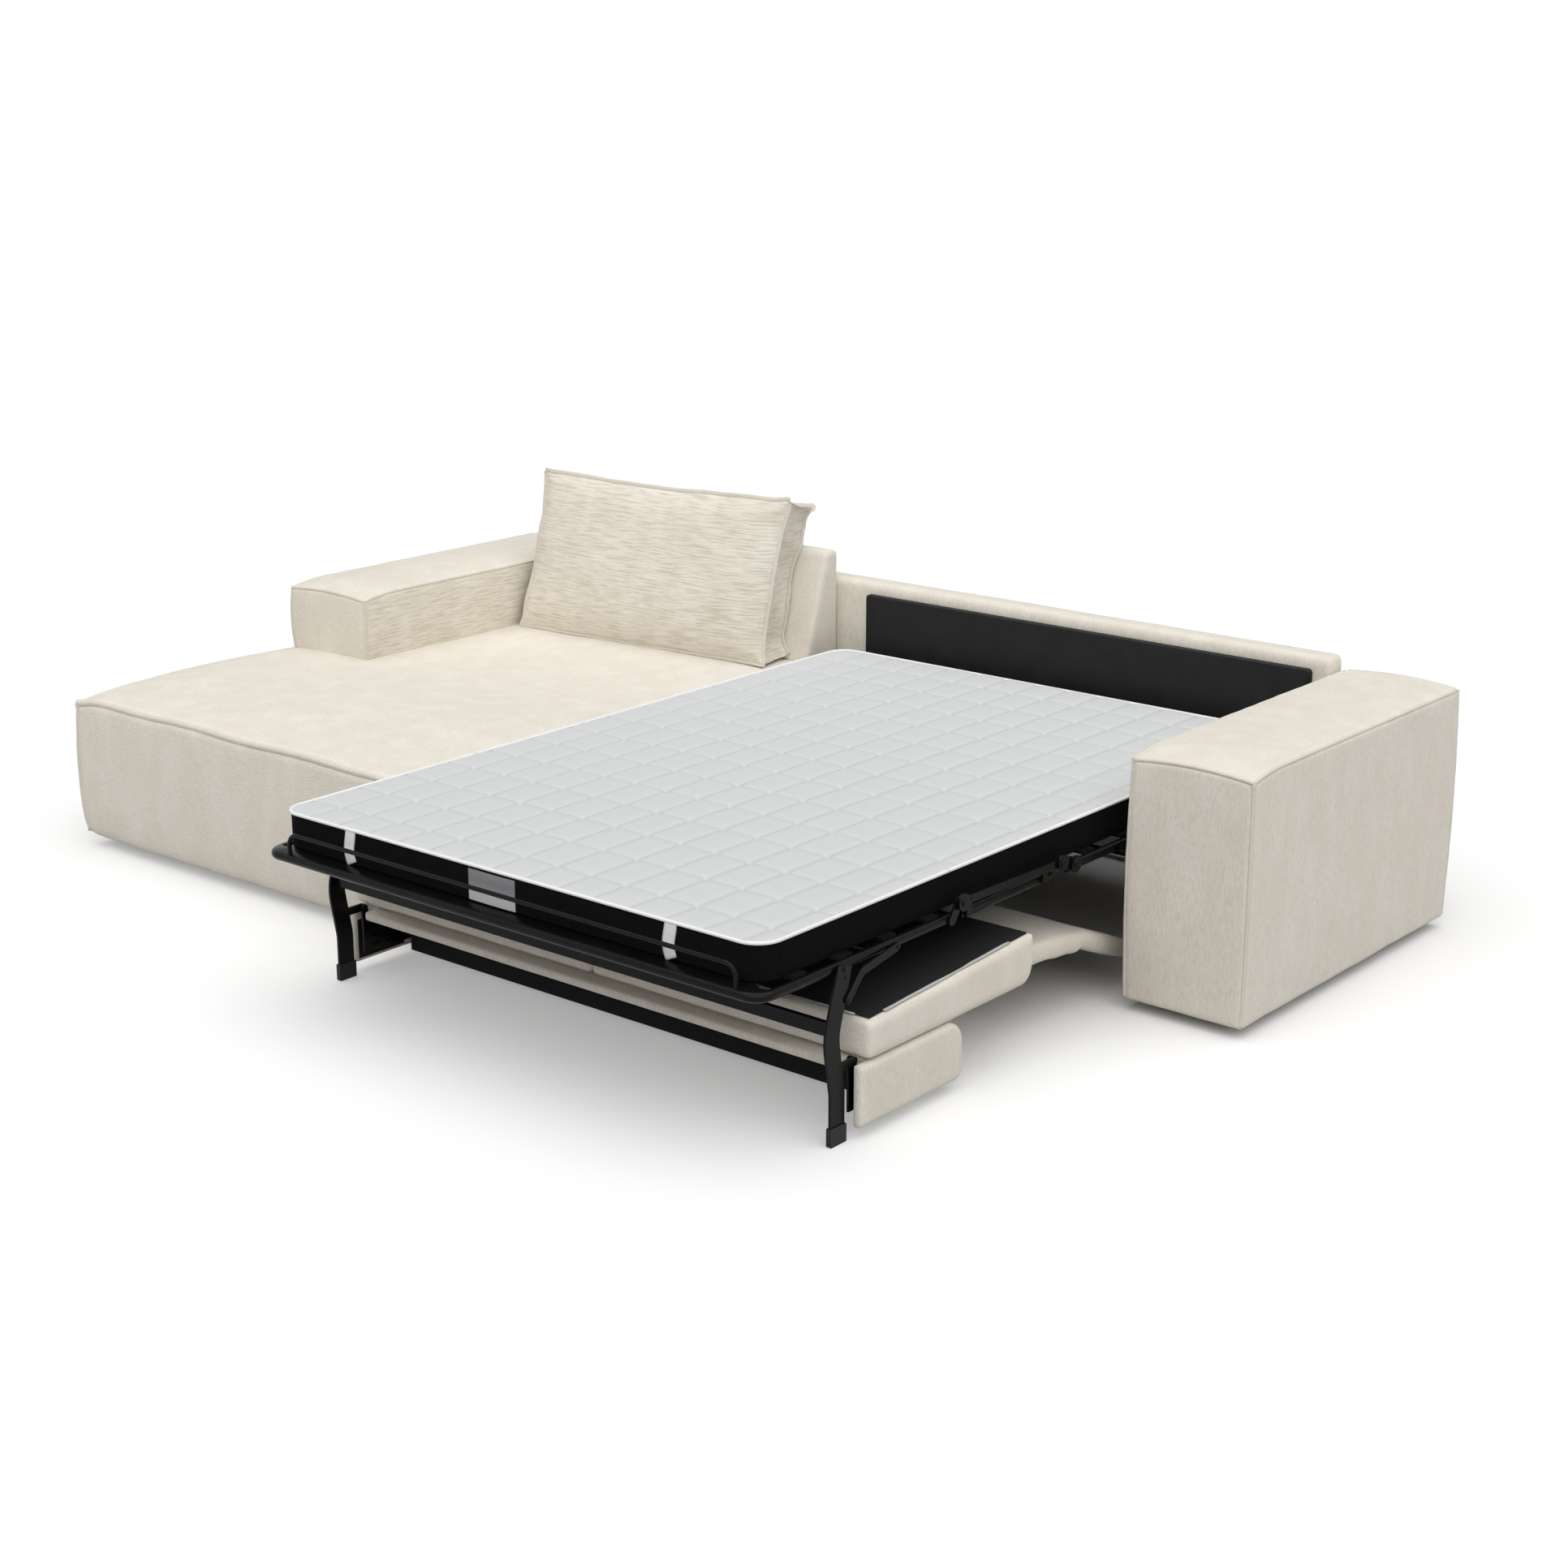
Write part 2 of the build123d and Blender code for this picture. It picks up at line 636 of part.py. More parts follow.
with BuildPart() as legs:
    with BuildSketch(side(leg_x)):
        with BuildLine():
            FilletPolyline(
                (along(LEG_TOP_Y), frame_z + TUBE_DIA / 4),
                (along(LEG_BEND_Y), LEG_BEND_Z),
                (along(LEG_FOOT_Y), LEG_STRAIGHT_Z),
                (along(LEG_FOOT_Y), LEG_WIDTH / 2),
                radius=LEG_BEND_RADIUS,
            )
        trace(line_width=LEG_WIDTH)
        with Locations((along(LEG_FOOT_Y), leg_base)):
            Rectangle(LEG_WIDTH, LEG_WIDTH, align=(Align.CENTER, Align.MIN))
        lug = (along(BACKREST_PIVOT_Y), BACKREST_PIVOT_Z)
        slot_between((along(LEG_FOOT_Y), BACKREST_PIVOT_Z), lug, EAR_DIA)
    extrude(amount=LEG_THICK)
    pin(tube_side, LEG_SIDE_GAP, (along(LEG_TOP_Y), frame_z), SWING_PIN_DIA)
    mirror(about=frame_centre)

with BuildPart() as leg_caps:
    with BuildSketch(side(leg_x - CAP_WALL)):
        with Locations((along(LEG_FOOT_Y), CAP_HEIGHT / 2)):
            Rectangle(LEG_WIDTH + 2 * CAP_WALL, CAP_HEIGHT)
        fillet(vertices(), radius=CAP_WALL)
    extrude(amount=LEG_THICK + 2 * CAP_WALL)
    mirror(about=frame_centre)
    add(legs.part, mode=Mode.SUBTRACT)

brace_x = leg_x + LEG_THICK

with BuildPart() as leg_braces:
    with BuildSketch(side(brace_x)):
        with BuildLine():
            FilletPolyline(
                (along(BRACE_LOW_Y), BRACE_LOW_Z),
                (along(BRACE_BEND_Y), BRACE_BEND_Z),
                (along(BRACE_END_Y), frame_z),
                radius=BRACE_BEND_RADIUS,
            )
        trace(line_width=BRACE_WIDTH)
    extrude(amount=BRACE_THICK)
    pin(tube_side, brace_x - tube_side, (along(BRACE_END_Y), frame_z), SWING_PIN_DIA)
    mirror(about=frame_centre)

with BuildPart() as leg_crossbar:
    crossbar_x = 2 * bed_mid - leg_x
    with BuildSketch(side(crossbar_x)):
        with Locations((along(CROSSBAR_Y), CROSSBAR_Z)):
            Rectangle(CROSSBAR_DEPTH, CROSSBAR_HEIGHT, align=(Align.MIN, Align.MIN))
    extrude(amount=leg_x - crossbar_x)

bracket_x = leg_x - CAP_WALL - RUN_GAP - BRACKET_THICK

with BuildPart() as backrest_pins:
    pin(bracket_x, leg_x - bracket_x, lug, BACKREST_PIN_DIA)
    mirror(about=frame_centre)

# Seat cushions, their cover and the lip in front of them
seat_rear_top = SEAT_FACE_Z + SEAT_REAR_THICK
seat_front_top = SEAT_FACE_Z + SEAT_FRONT_THICK


def seat_cushion(x, width):
    """Half of the seat, face down, with a crowned face and a rounded nose."""
    with BuildSketch(side(x)) as outline:
        with BuildLine():
            nose_y = seat_end - SEAT_NOSE_ROUND
            nose_z = SEAT_FACE_Z + SEAT_NOSE_ROUND
            Line((along(SEAT_START), seat_rear_top), (along(SEAT_START), SEAT_FACE_Z))
            ThreePointArc(
                (along(SEAT_START), SEAT_FACE_Z),
                (along((SEAT_START + nose_y) / 2), SEAT_FACE_Z - SEAT_CROWN),
                (along(nose_y), SEAT_FACE_Z),
            )
            RadiusArc((along(nose_y), SEAT_FACE_Z), (along(seat_end), nose_z), -SEAT_NOSE_ROUND)
            Line((along(seat_end), nose_z), (along(seat_end), seat_front_top))
            Line((along(seat_end), seat_front_top), (along(SEAT_START), seat_rear_top))
        make_face()
    extrude(outline.sketch, amount=width)


with BuildPart() as left_seat_cushion:
    seat_cushion(seat_left, bed_mid - SEAT_SPLIT / 2 - seat_left)
    seat_sides = left_seat_cushion.faces().filter_by(Axis.X)
    chamfer(seat_sides.edges().group_by(Axis.Z)[0], length=SEAT_EDGE)

with BuildPart() as right_seat_cushion:
    seat_cushion(bed_mid + SEAT_SPLIT / 2, seat_right - bed_mid - SEAT_SPLIT / 2)
    seat_sides = right_seat_cushion.faces().filter_by(Axis.X)
    chamfer(seat_sides.edges().group_by(Axis.Z)[0], length=SEAT_EDGE)

seat_slope = (seat_front_top - seat_rear_top) / SEAT_DEPTH

with BuildPart() as seat_cover:
    with BuildSketch(side(seat_left + COVER_INSET)):
        with BuildLine():
            cover_low = seat_rear_top + seat_slope * COVER_INSET
            cover_high = seat_front_top - seat_slope * COVER_INSET
            Polyline(
                (along(SEAT_START + COVER_INSET), cover_low),
                (along(seat_end - COVER_INSET), cover_high),
                (along(seat_end - COVER_INSET), cover_high + COVER_THICK),
                (along(SEAT_START + COVER_INSET), cover_low + COVER_THICK),
                close=True,
            )
        make_face()
    extrude(amount=seat_right - seat_left - 2 * COVER_INSET)

with BuildPart() as seat_hangers:
    for distance in foot_cross_places:
        with BuildSketch(side(bed_right - HANGER_INSET)):
            with Locations((along(distance), seat_rear_top)):
                Rectangle(HANGER_WIDTH, frame_z - seat_rear_top, align=(Align.CENTER, Align.MIN))
        extrude(amount=HANGER_THICK)
    mirror(about=frame_centre)
    add(seat_cover.part, mode=Mode.SUBTRACT)
    add(left_seat_cushion.part, mode=Mode.SUBTRACT)
    add(right_seat_cushion.part, mode=Mode.SUBTRACT)
    add(foot_cross_tubes.part, mode=Mode.SUBTRACT)

with BuildPart() as seat_lip:
    lip_top_end = LIP_TOP - LIP_TOP_DROP
    with BuildSketch(side(lip_left)):
        with BuildLine():
            ThreePointArc(
                (along(seat_end), LIP_TOP),
                (along(seat_end + LIP_LENGTH / 2), LIP_TOP - LIP_MID_DROP),
                (along(lip_end), lip_top_end),
            )
            Line((along(lip_end), lip_top_end), (along(lip_end), lip_top_end - LIP_THICK))
            ThreePointArc(
                (along(lip_end), lip_top_end - LIP_THICK),
                (along(seat_end + LIP_LENGTH / 2), LIP_TOP - LIP_MID_DROP - LIP_THICK),
                (along(seat_end), LIP_TOP - LIP_THICK),
            )
            Line((along(seat_end), LIP_TOP - LIP_THICK), (along(seat_end), LIP_TOP))
        make_face()
    extrude(amount=lip_right - lip_left)

with BuildPart() as front_apron:
    apron_tip = (
        along(apron_y) + APRON_LENGTH * cos(radians(APRON_SLOPE)),
        apron_z - APRON_LENGTH * sin(radians(APRON_SLOPE)),
    )
    bar(lip_left, lip_right - lip_left, (along(apron_y), apron_z), apron_tip, APRON_THICK)

# Backrest with the recess that takes the legs
with BuildPart() as backrest_pad:
    with BuildSketch(side(seat_left)):
        with Locations((along(BACKREST_START), BACKREST_BASE)):
            Rectangle(BACKREST_HEIGHT, BACKREST_THICK, align=(Align.MIN, Align.MIN))
        far = vertices().group_by(Axis.X)[-1]
        fillet(far.sort_by(Axis.Y)[-1], radius=BACKREST_TOP_ROUND)
        fillet(vertices().group_by(Axis.Y)[0].sort_by(Axis.X)[-1], radius=BACKREST_REAR_ROUND)
    extrude(amount=seat_right - seat_left)
    chamfer(backrest_pad.faces().filter_by(Axis.X).edges(), length=BACKREST_EDGE)
    cheek_left = 2 * bed_mid - cheek_right
    recess_height = BACKREST_THICK - RECESS_CEILING
    with BuildSketch(side(cheek_left)):
        with Locations((along(BACKREST_START), BACKREST_BASE)):
            Rectangle(RECESS_DEPTH, recess_height, align=(Align.MIN, Align.MIN))
    extrude(amount=cheek_right - cheek_left, mode=Mode.SUBTRACT)
    for slot_x in (cheek_left, cheek_right - LEG_SLOT_WIDTH):
        with BuildSketch(side(slot_x)):
            with Locations((along(BACKREST_START), BACKREST_BASE)):
                Rectangle(RECESS_DEPTH + LEG_SLOT_DEPTH, recess_height, align=(Align.MIN, Align.MIN))
                Rectangle(PIVOT_NOTCH, BACKREST_THICK, align=(Align.MIN, Align.MIN))
        extrude(amount=LEG_SLOT_WIDTH, mode=Mode.SUBTRACT)

with BuildPart() as backrest_liner:
    liner_height = recess_height - BACKREST_EDGE
    wall_left = cheek_left + LEG_SLOT_WIDTH
    wall_right = cheek_right - LEG_SLOT_WIDTH
    with BuildSketch(side(wall_left)):
        with Locations((along(recess_wall), BACKREST_BASE)):
            Rectangle(LINER_THICK, liner_height, align=(Align.MAX, Align.MIN))
    extrude(amount=wall_right - wall_left)
    with BuildSketch(side(cheek_right - LINER_THICK)):
        with Locations((along(BACKREST_START) + BACKREST_EDGE, BACKREST_BASE + BACKREST_EDGE)):
            Rectangle(RECESS_DEPTH, liner_height - BACKREST_EDGE, align=(Align.MIN, Align.MIN))
    cheek_plate = extrude(amount=LINER_THICK)
    mirror(cheek_plate, about=frame_centre)

with BuildPart() as slotted_brackets:
    bracket_end = recess_wall + LEG_SLOT_DEPTH
    bracket_depth = bracket_end - BRACKET_FRONT
    bracket_height = BRACKET_HIGH - BRACKET_LOW
    with BuildSketch(side(bracket_x)):
        with Locations((along(BRACKET_FRONT), BRACKET_LOW)):
            Rectangle(bracket_depth, bracket_height, align=(Align.MIN, Align.MIN))
        slot_between(lug, (along(BRACKET_FRONT) + EAR_DIA / 2, BRACKET_HIGH - EAR_DIA), EAR_DIA)
        slots_y = BRACKET_FRONT + BRACKET_SLOT_START + BRACKET_SLOT_PITCH / 2
        with Locations((along(slots_y), BRACKET_LOW + bracket_height / 2)):
            with GridLocations(BRACKET_SLOT_PITCH, BRACKET_SLOT_ROWS, 2, 3):
                Rectangle(BRACKET_SLOT_LENGTH, BRACKET_SLOT, mode=Mode.SUBTRACT)
        with Locations(lug):
            Circle(BACKREST_PIN_DIA / 2 + PIN_GAP, mode=Mode.SUBTRACT)
    extrude(amount=BRACKET_THICK)
    mirror(about=frame_centre)

# Loose back cushion, boxed, leaning on the chaise's back
turn_cos = cos(radians(CUSHION_TURN))
turn_sin = sin(radians(CUSHION_TURN))
lean_cos = cos(radians(CUSHION_LEAN))
lean_sin = sin(radians(CUSHION_LEAN))
across = Vector(turn_cos, turn_sin, 0)
up_lean = Vector(-turn_sin * lean_sin, turn_cos * lean_sin, lean_cos)
out_lean = Vector(turn_sin * lean_cos, -turn_cos * lean_cos, lean_sin)
cushion_right = chaise_right - CUSHION_RIGHT_INSET - CUSHION_THICK * turn_sin
cushion_room = cushion_right - left_arm_inner - PAD_BULGE - RUN_GAP
cushion_width = (cushion_room - CUSHION_HEIGHT * turn_sin * lean_sin) / turn_cos
cushion_half = cushion_width / 2
cushion_rear = pad_front + (CHAISE_HEIGHT - back_low) * tan(radians(CUSHION_LEAN))
cushion_x = cushion_right - cushion_half * turn_cos
cushion_y = cushion_rear - cushion_half * turn_sin
cushion_seat = (cushion_x, cushion_y, CHAISE_HEIGHT)
cushion_back = Plane(cushion_seat, x_dir=across, z_dir=out_lean).offset(RUN_GAP)
cushion_low = -CUSHION_THICK / 2
cushion_middle = CUSHION_HEIGHT / 2
cushion_deep = CUSHION_THICK + CUSHION_CROWN
cushion_across = CUSHION_THICK + CUSHION_CROWN_ACROSS

with BuildPart() as loose_cushion:
    with BuildSketch(cushion_back):
        with BuildLine():
            Line((-cushion_half, cushion_low), (cushion_half, cushion_low))
            ThreePointArc(
                (cushion_half, cushion_low),
                (cushion_half - CUSHION_DRAW_IN, cushion_middle),
                (cushion_half, CUSHION_HEIGHT),
            )
            ThreePointArc(
                (cushion_half, CUSHION_HEIGHT),
                (0, CUSHION_HEIGHT - CUSHION_DRAW_IN),
                (-cushion_half, CUSHION_HEIGHT),
            )
            ThreePointArc(
                (-cushion_half, CUSHION_HEIGHT),
                (CUSHION_DRAW_IN - cushion_half, cushion_middle),
                (-cushion_half, cushion_low),
            )
        make_face()
    extrude(amount=cushion_across)
    side_view = Plane(cushion_back.origin, x_dir=out_lean, z_dir=-across)
    with BuildSketch(side_view.offset(-cushion_half)):
        with BuildLine():
            Polyline(
                (CUSHION_THICK, CUSHION_HEIGHT),
                (0, CUSHION_HEIGHT),
                (0, cushion_low),
                (CUSHION_THICK, cushion_low),
            )
            ThreePointArc(
                (CUSHION_THICK, cushion_low),
                (cushion_deep, cushion_middle),
                (CUSHION_THICK, CUSHION_HEIGHT),
            )
        make_face()
    extrude(amount=cushion_width, mode=Mode.INTERSECT)
    top_view = Plane(cushion_back.origin, x_dir=across, z_dir=-up_lean)
    with BuildSketch(top_view.offset(-CUSHION_HEIGHT)):
        with BuildLine():
            Polyline(
                (cushion_half, CUSHION_THICK),
                (cushion_half, 0),
                (-cushion_half, 0),
                (-cushion_half, CUSHION_THICK),
            )
            ThreePointArc(
                (-cushion_half, CUSHION_THICK),
                (0, cushion_across),
                (cushion_half, CUSHION_THICK),
            )
        make_face()
    extrude(amount=CUSHION_HEIGHT - cushion_low, mode=Mode.INTERSECT)
    split(bisect_by=Plane.XY.offset(CHAISE_HEIGHT + REST_GAP), keep=Keep.TOP)

pieces = {
    "chaise_block": chaise_block,
    "left_arm": left_arm,
    "right_arm": right_arm,
    "chaise_back": chaise_back,
    "long_back": long_back,
    "back_panel": back_panel,
    "sofa_feet": sofa_feet,
    "side_rails": side_rails,
    "rail_spacers": rail_spacers,
    "rear_rail": rear_rail,
    "swing_base_pins": swing_base_pins,
    "front_swing_arms": front_swing_arms,
    "rear_swing_arms": rear_swing_arms,
    "swing_top_pins": swing_top_pins,
    "head_side_tubes": head_side_tubes,
    "head_cross_tubes": head_cross_tubes,
    "head_slats": head_slats,
    "head_mattress": head_mattress,
    "head_pivot_plates": head_pivot_plates,
    "mid_side_tubes": mid_side_tubes,
    "mid_cross_tube": mid_cross_tube,
    "mid_slats": mid_slats,
    "mid_mattress": mid_mattress,
    "fold_mattress": fold_mattress,
    "link_bars": link_bars,
    "link_brackets": link_brackets,
    "foot_end_tube": foot_end_tube,
    "foot_side_tubes": foot_side_tubes,
    "foot_cross_tubes": foot_cross_tubes,
    "foot_slats": foot_slats,
    "foot_mattress": foot_mattress,
    "mattress_straps": mattress_straps,
    "mattress_label": mattress_label,
    "retainer_hoop": retainer_hoop,
    "first_pivot_levers": first_pivot_levers,
    "legs": legs,
    "leg_caps": leg_caps,
    "leg_braces": leg_braces,
    "leg_crossbar": leg_crossbar,
    "backrest_pins": backrest_pins,
    "left_seat_cushion": left_seat_cushion,
    "right_seat_cushion": right_seat_cushion,
    "seat_cover": seat_cover,
    "seat_hangers": seat_hangers,
    "seat_lip": seat_lip,
    "front_apron": front_apron,
    "backrest_pad": backrest_pad,
    "backrest_liner": backrest_liner,
    "slotted_brackets": slotted_brackets,
    "loose_cushion": loose_cushion,
}

os.makedirs("parts", exist_ok=True)
for name, piece in pieces.items():
    piece.part.label = name
    export_step(piece.part, f"parts/{name}.step")
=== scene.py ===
"""Looks of the unfolded corner sofa bed, in metres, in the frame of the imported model."""
import json
from math import cos, pi, radians, sin

import bmesh
import bpy
import numpy as np
from mathutils import Matrix, Vector, noise
from mathutils.bvhtree import BVHTree


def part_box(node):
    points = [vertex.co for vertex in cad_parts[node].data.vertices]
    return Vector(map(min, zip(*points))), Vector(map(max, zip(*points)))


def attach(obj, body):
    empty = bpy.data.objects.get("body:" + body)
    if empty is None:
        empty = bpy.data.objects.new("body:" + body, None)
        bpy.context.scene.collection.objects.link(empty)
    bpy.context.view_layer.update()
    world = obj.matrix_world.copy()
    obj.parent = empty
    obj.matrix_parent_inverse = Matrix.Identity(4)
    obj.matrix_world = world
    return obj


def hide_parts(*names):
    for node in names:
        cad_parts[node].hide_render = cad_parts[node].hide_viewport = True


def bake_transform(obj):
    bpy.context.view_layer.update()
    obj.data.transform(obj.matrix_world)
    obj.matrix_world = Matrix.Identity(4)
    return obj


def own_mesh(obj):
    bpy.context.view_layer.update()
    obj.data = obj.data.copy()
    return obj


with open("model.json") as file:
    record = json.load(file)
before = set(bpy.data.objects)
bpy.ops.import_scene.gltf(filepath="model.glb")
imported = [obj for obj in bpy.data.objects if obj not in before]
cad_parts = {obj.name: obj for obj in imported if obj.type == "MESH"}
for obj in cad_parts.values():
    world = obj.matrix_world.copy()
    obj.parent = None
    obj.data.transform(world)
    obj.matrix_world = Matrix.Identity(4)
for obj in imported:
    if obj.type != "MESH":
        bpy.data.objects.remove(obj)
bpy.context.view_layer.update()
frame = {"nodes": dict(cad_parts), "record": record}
nodes = frame["nodes"]
scene = bpy.context.scene
scene.view_settings.view_transform = "Standard"

# Places shared by many pieces
BED_LEFT = -0.2115
BED_RIGHT = 1.1885
FOOT_Y = -1.059
BED_MID = (BED_LEFT + BED_RIGHT) / 2
BED_HALF = 0.7
HEAD_Y = FOOT_Y + 2.0

# Sewn channels of the mattress: pitch and first line each way
QUILT_X = 0.096
QUILT_Y = 0.1365
FIRST_CHANNEL_X = BED_LEFT - 0.002
FIRST_CHANNEL_Y = FOOT_Y + 0.096

# Fineness of the noise, and points round and along curved parts
NOISE_OCTAVES = 3
TUBE_SIDES = 8
RIVET_SIDES = 14
RAIL_SIDES = 20
RAIL_STEPS = 8

# Mesh helpers


def add_object(name, mesh, material, smooth=True):
    """A new object at the origin with one material."""
    obj = bpy.data.objects.new(name, mesh)
    scene.collection.objects.link(obj)
    mesh.materials.clear()
    mesh.materials.append(material)
    if smooth:
        mesh.polygons.foreach_set("use_smooth", [True] * len(mesh.polygons))
    return obj


def points_of(mesh):
    """The mesh's vertices as an array."""
    flat = np.empty(len(mesh.vertices) * 3)
    mesh.vertices.foreach_get("co", flat)
    return flat.reshape(-1, 3)


def normals_of(mesh):
    """The mesh's vertex normals as an array."""
    flat = np.empty(len(mesh.vertices) * 3)
    mesh.vertices.foreach_get("normal", flat)
    return flat.reshape(-1, 3)


def set_points(mesh, points):
    """Moves the mesh's vertices."""
    mesh.vertices.foreach_set("co", np.asarray(points).reshape(-1))
    mesh.update()


def applied(obj):
    """The object's mesh with its modifiers applied."""
    graph = bpy.context.evaluated_depsgraph_get()
    graph.update()
    return bpy.data.meshes.new_from_object(obj.evaluated_get(graph))


def fractal(points, scale, seed):
    """Smooth noise from -1 to 1 at each point."""
    shift = Vector((seed * 3.7, seed * 1.3, seed * 7.1))
    values = np.empty(len(points))
    for index, point in enumerate(points):
        values[index] = noise.fractal(Vector(point) * scale + shift, 1.0, 2.0, NOISE_OCTAVES)
    return values


def softened(names, voxel, rounds):
    """A finely divided copy of one or more nodes' solids with their edges eased."""
    work = bmesh.new()
    for node in names:
        work.from_mesh(nodes[node].data)
    mesh = bpy.data.meshes.new("work")
    work.to_mesh(mesh)
    work.free()
    obj = bpy.data.objects.new("work", mesh)
    scene.collection.objects.link(obj)
    remesh = obj.modifiers.new("remesh", "REMESH")
    remesh.mode = "VOXEL"
    remesh.voxel_size = voxel
    ease = obj.modifiers.new("ease", "SMOOTH")
    ease.factor = 0.5
    ease.iterations = rounds
    result = applied(obj)
    bpy.data.objects.remove(obj)
    return result


def join_rings(work, rings):
    """Side faces between rings of points that follow one another."""
    for low, high in zip(rings, rings[1:]):
        for turn in range(len(low)):
            after = (turn + 1) % len(low)
            work.faces.new((low[turn], low[after], high[after], high[turn]))


def finished_mesh(name, work):
    """The mesh of a finished shape, with its faces turned outwards."""
    bmesh.ops.recalc_face_normals(work, faces=work.faces)
    mesh = bpy.data.meshes.new(name)
    work.to_mesh(mesh)
    work.free()
    return mesh


def tube_mesh(path, radius):
    """A round tube along points, with capped ends."""
    points = [Vector(p) for p in path]
    last = len(points) - 1
    work = bmesh.new()
    rings = []
    up = None
    for index, point in enumerate(points):
        ahead = points[min(index + 1, last)] - points[max(index - 1, 0)]
        ahead.normalize()
        if up is None:
            up = ahead.orthogonal().normalized()
        up = (up - ahead * up.dot(ahead)).normalized()
        across = ahead.cross(up)
        ring = []
        for turn in range(TUBE_SIDES):
            angle = 2 * pi * turn / TUBE_SIDES
            ring.append(work.verts.new(point + (up * cos(angle) + across * sin(angle)) * radius))
        rings.append(ring)
    join_rings(work, rings)
    work.faces.new(reversed(rings[0]))
    work.faces.new(rings[-1])
    return finished_mesh("tube", work)


def resampled(path, step):
    """Points at even steps along a polyline."""
    path = np.asarray(path, float)
    lengths = np.linalg.norm(np.diff(path, axis=0), axis=1)
    run = np.concatenate(([0.0], np.cumsum(lengths)))
    places = np.linspace(0, run[-1], max(2, int(run[-1] / step) + 1))
    return np.stack([np.interp(places, run, path[:, axis]) for axis in range(3)], axis=1)


def piping(name, path, piece, material, radius, proud, step=0.012):
    """A sewn welt along a path, laid on the surface of a soft piece."""
    tree = BVHTree.FromObject(piece, bpy.context.evaluated_depsgraph_get())
    line = []
    for point in resampled(path, step):
        place, normal, _, _ = tree.find_nearest(Vector(point))
        line.append(np.array(place + normal * (proud - radius * 0.35)))
    line = np.array(line)
    for _ in range(3):
        line[1:-1] = (line[:-2] + 2 * line[1:-1] + line[2:]) / 4
    return add_object(name, tube_mesh(line, radius), material)


def box_grid(low, high, radius, step):
    """Points and faces of a box, divided evenly and more finely beside its edges."""
    near = np.array((0.0, 0.3, 0.6, 1.0, 1.6)) * radius
    marks = []
    for start, end in zip(low, high):
        room = end - start - 4.4 * radius
        inner = np.linspace(start + 2.2 * radius, end - 2.2 * radius, max(2, int(room / step) + 1))
        marks.append(np.concatenate((start + near, inner, (end - near)[::-1])))
    index = {}
    points = []
    faces = []

    def corner(place):
        if place not in index:
            index[place] = len(points)
            points.append([marks[axis][place[axis]] for axis in range(3)])
        return index[place]

    for axis in range(3):
        first = (axis + 1) % 3
        second = (axis + 2) % 3
        for level in (0, len(marks[axis]) - 1):
            for a in range(len(marks[first]) - 1):
                for b in range(len(marks[second]) - 1):
                    ring = []
                    for step_a, step_b in ((0, 0), (1, 0), (1, 1), (0, 1)):
                        place = [0, 0, 0]
                        place[axis] = level
                        place[first] = a + step_a
                        place[second] = b + step_b
                        ring.append(corner(tuple(place)))
                    faces.append(ring if level else ring[::-1])
    return np.array(points), faces


def rounded(points, low, high, radius, valley=0.0):
    """Points of a box moved onto its rounded edges, drawn in along them, with the outward directions."""
    core = np.clip(points, np.array(low) + radius, np.array(high) - radius)
    out = points - core
    size = np.linalg.norm(out, axis=1, keepdims=True)
    out = out / np.maximum(size, 1e-9)
    ranked = np.sort(np.abs(out), axis=1)
    drawn = np.clip(2 * ranked[:, 2] * ranked[:, 1], 0, 1) ** 4 * (out[:, 2] > -0.3)
    return core + out * (radius - valley * drawn[:, None]), out


def mesh_of(name, points, faces):
    """A mesh from points and faces."""
    mesh = bpy.data.meshes.new(name)
    mesh.from_pydata([tuple(p) for p in points], [], faces)
    mesh.update()
    return mesh


def flange(path, outward, width, thick, closed=True, lead=0.6):
    """A flat sewn band along a path, standing out from it by a lead."""
    count = len(path)
    points = []
    faces = []
    sides = TUBE_SIDES
    for index in range(count):
        if closed:
            ahead = path[(index + 1) % count] - path[index - 1]
        else:
            ahead = path[min(index + 1, count - 1)] - path[max(index - 1, 0)]
        ahead = ahead / np.linalg.norm(ahead)
        out = outward[index] - ahead * np.dot(outward[index], ahead)
        out = out / np.linalg.norm(out)
        flat = np.cross(ahead, out)
        for turn in range(sides):
            angle = 2 * pi * turn / sides
            shift = out * (width * 0.5 * (lead + cos(angle))) + flat * (thick * 0.5 * sin(angle))
            points.append(path[index] + shift)
    for index in range(count if closed else count - 1):
        after = (index + 1) % count
        for turn in range(sides):
            other = (turn + 1) % sides
            faces.append((
                index * sides + turn,
                index * sides + other,
                after * sides + other,
                after * sides + turn,
            ))
    if not closed:
        faces.append(tuple(range(sides))[::-1])
        faces.append(tuple((count - 1) * sides + turn for turn in range(sides)))
    return mesh_of("flange", points, faces)


# Material helpers


def node_maker(tree):
    """A function that adds a node to a tree and sets its inputs or settings."""
    def make(kind, **settings):
        node = tree.nodes.new(kind)
        for key, value in settings.items():
            if key in node.inputs:
                node.inputs[key].default_value = value
            else:
                setattr(node, key, value)
        return node

    return make


def new_material(name):
    """A material with its tree, its principled shader and a maker of nodes."""
    material = bpy.data.materials.new(name)
    material.use_nodes = True
    tree = material.node_tree
    return material, tree, tree.nodes["Principled BSDF"], node_maker(tree)


def ramp(make, tree, source, low, high, dark, light):
    """A two-colour ramp driven by a value."""
    node = make("ShaderNodeValToRGB")
    node.color_ramp.elements[0].position = low
    node.color_ramp.elements[0].color = (*dark, 1)
    node.color_ramp.elements[1].position = high
    node.color_ramp.elements[1].color = (*light, 1)
    tree.links.new(source, node.inputs["Fac"])
    return node


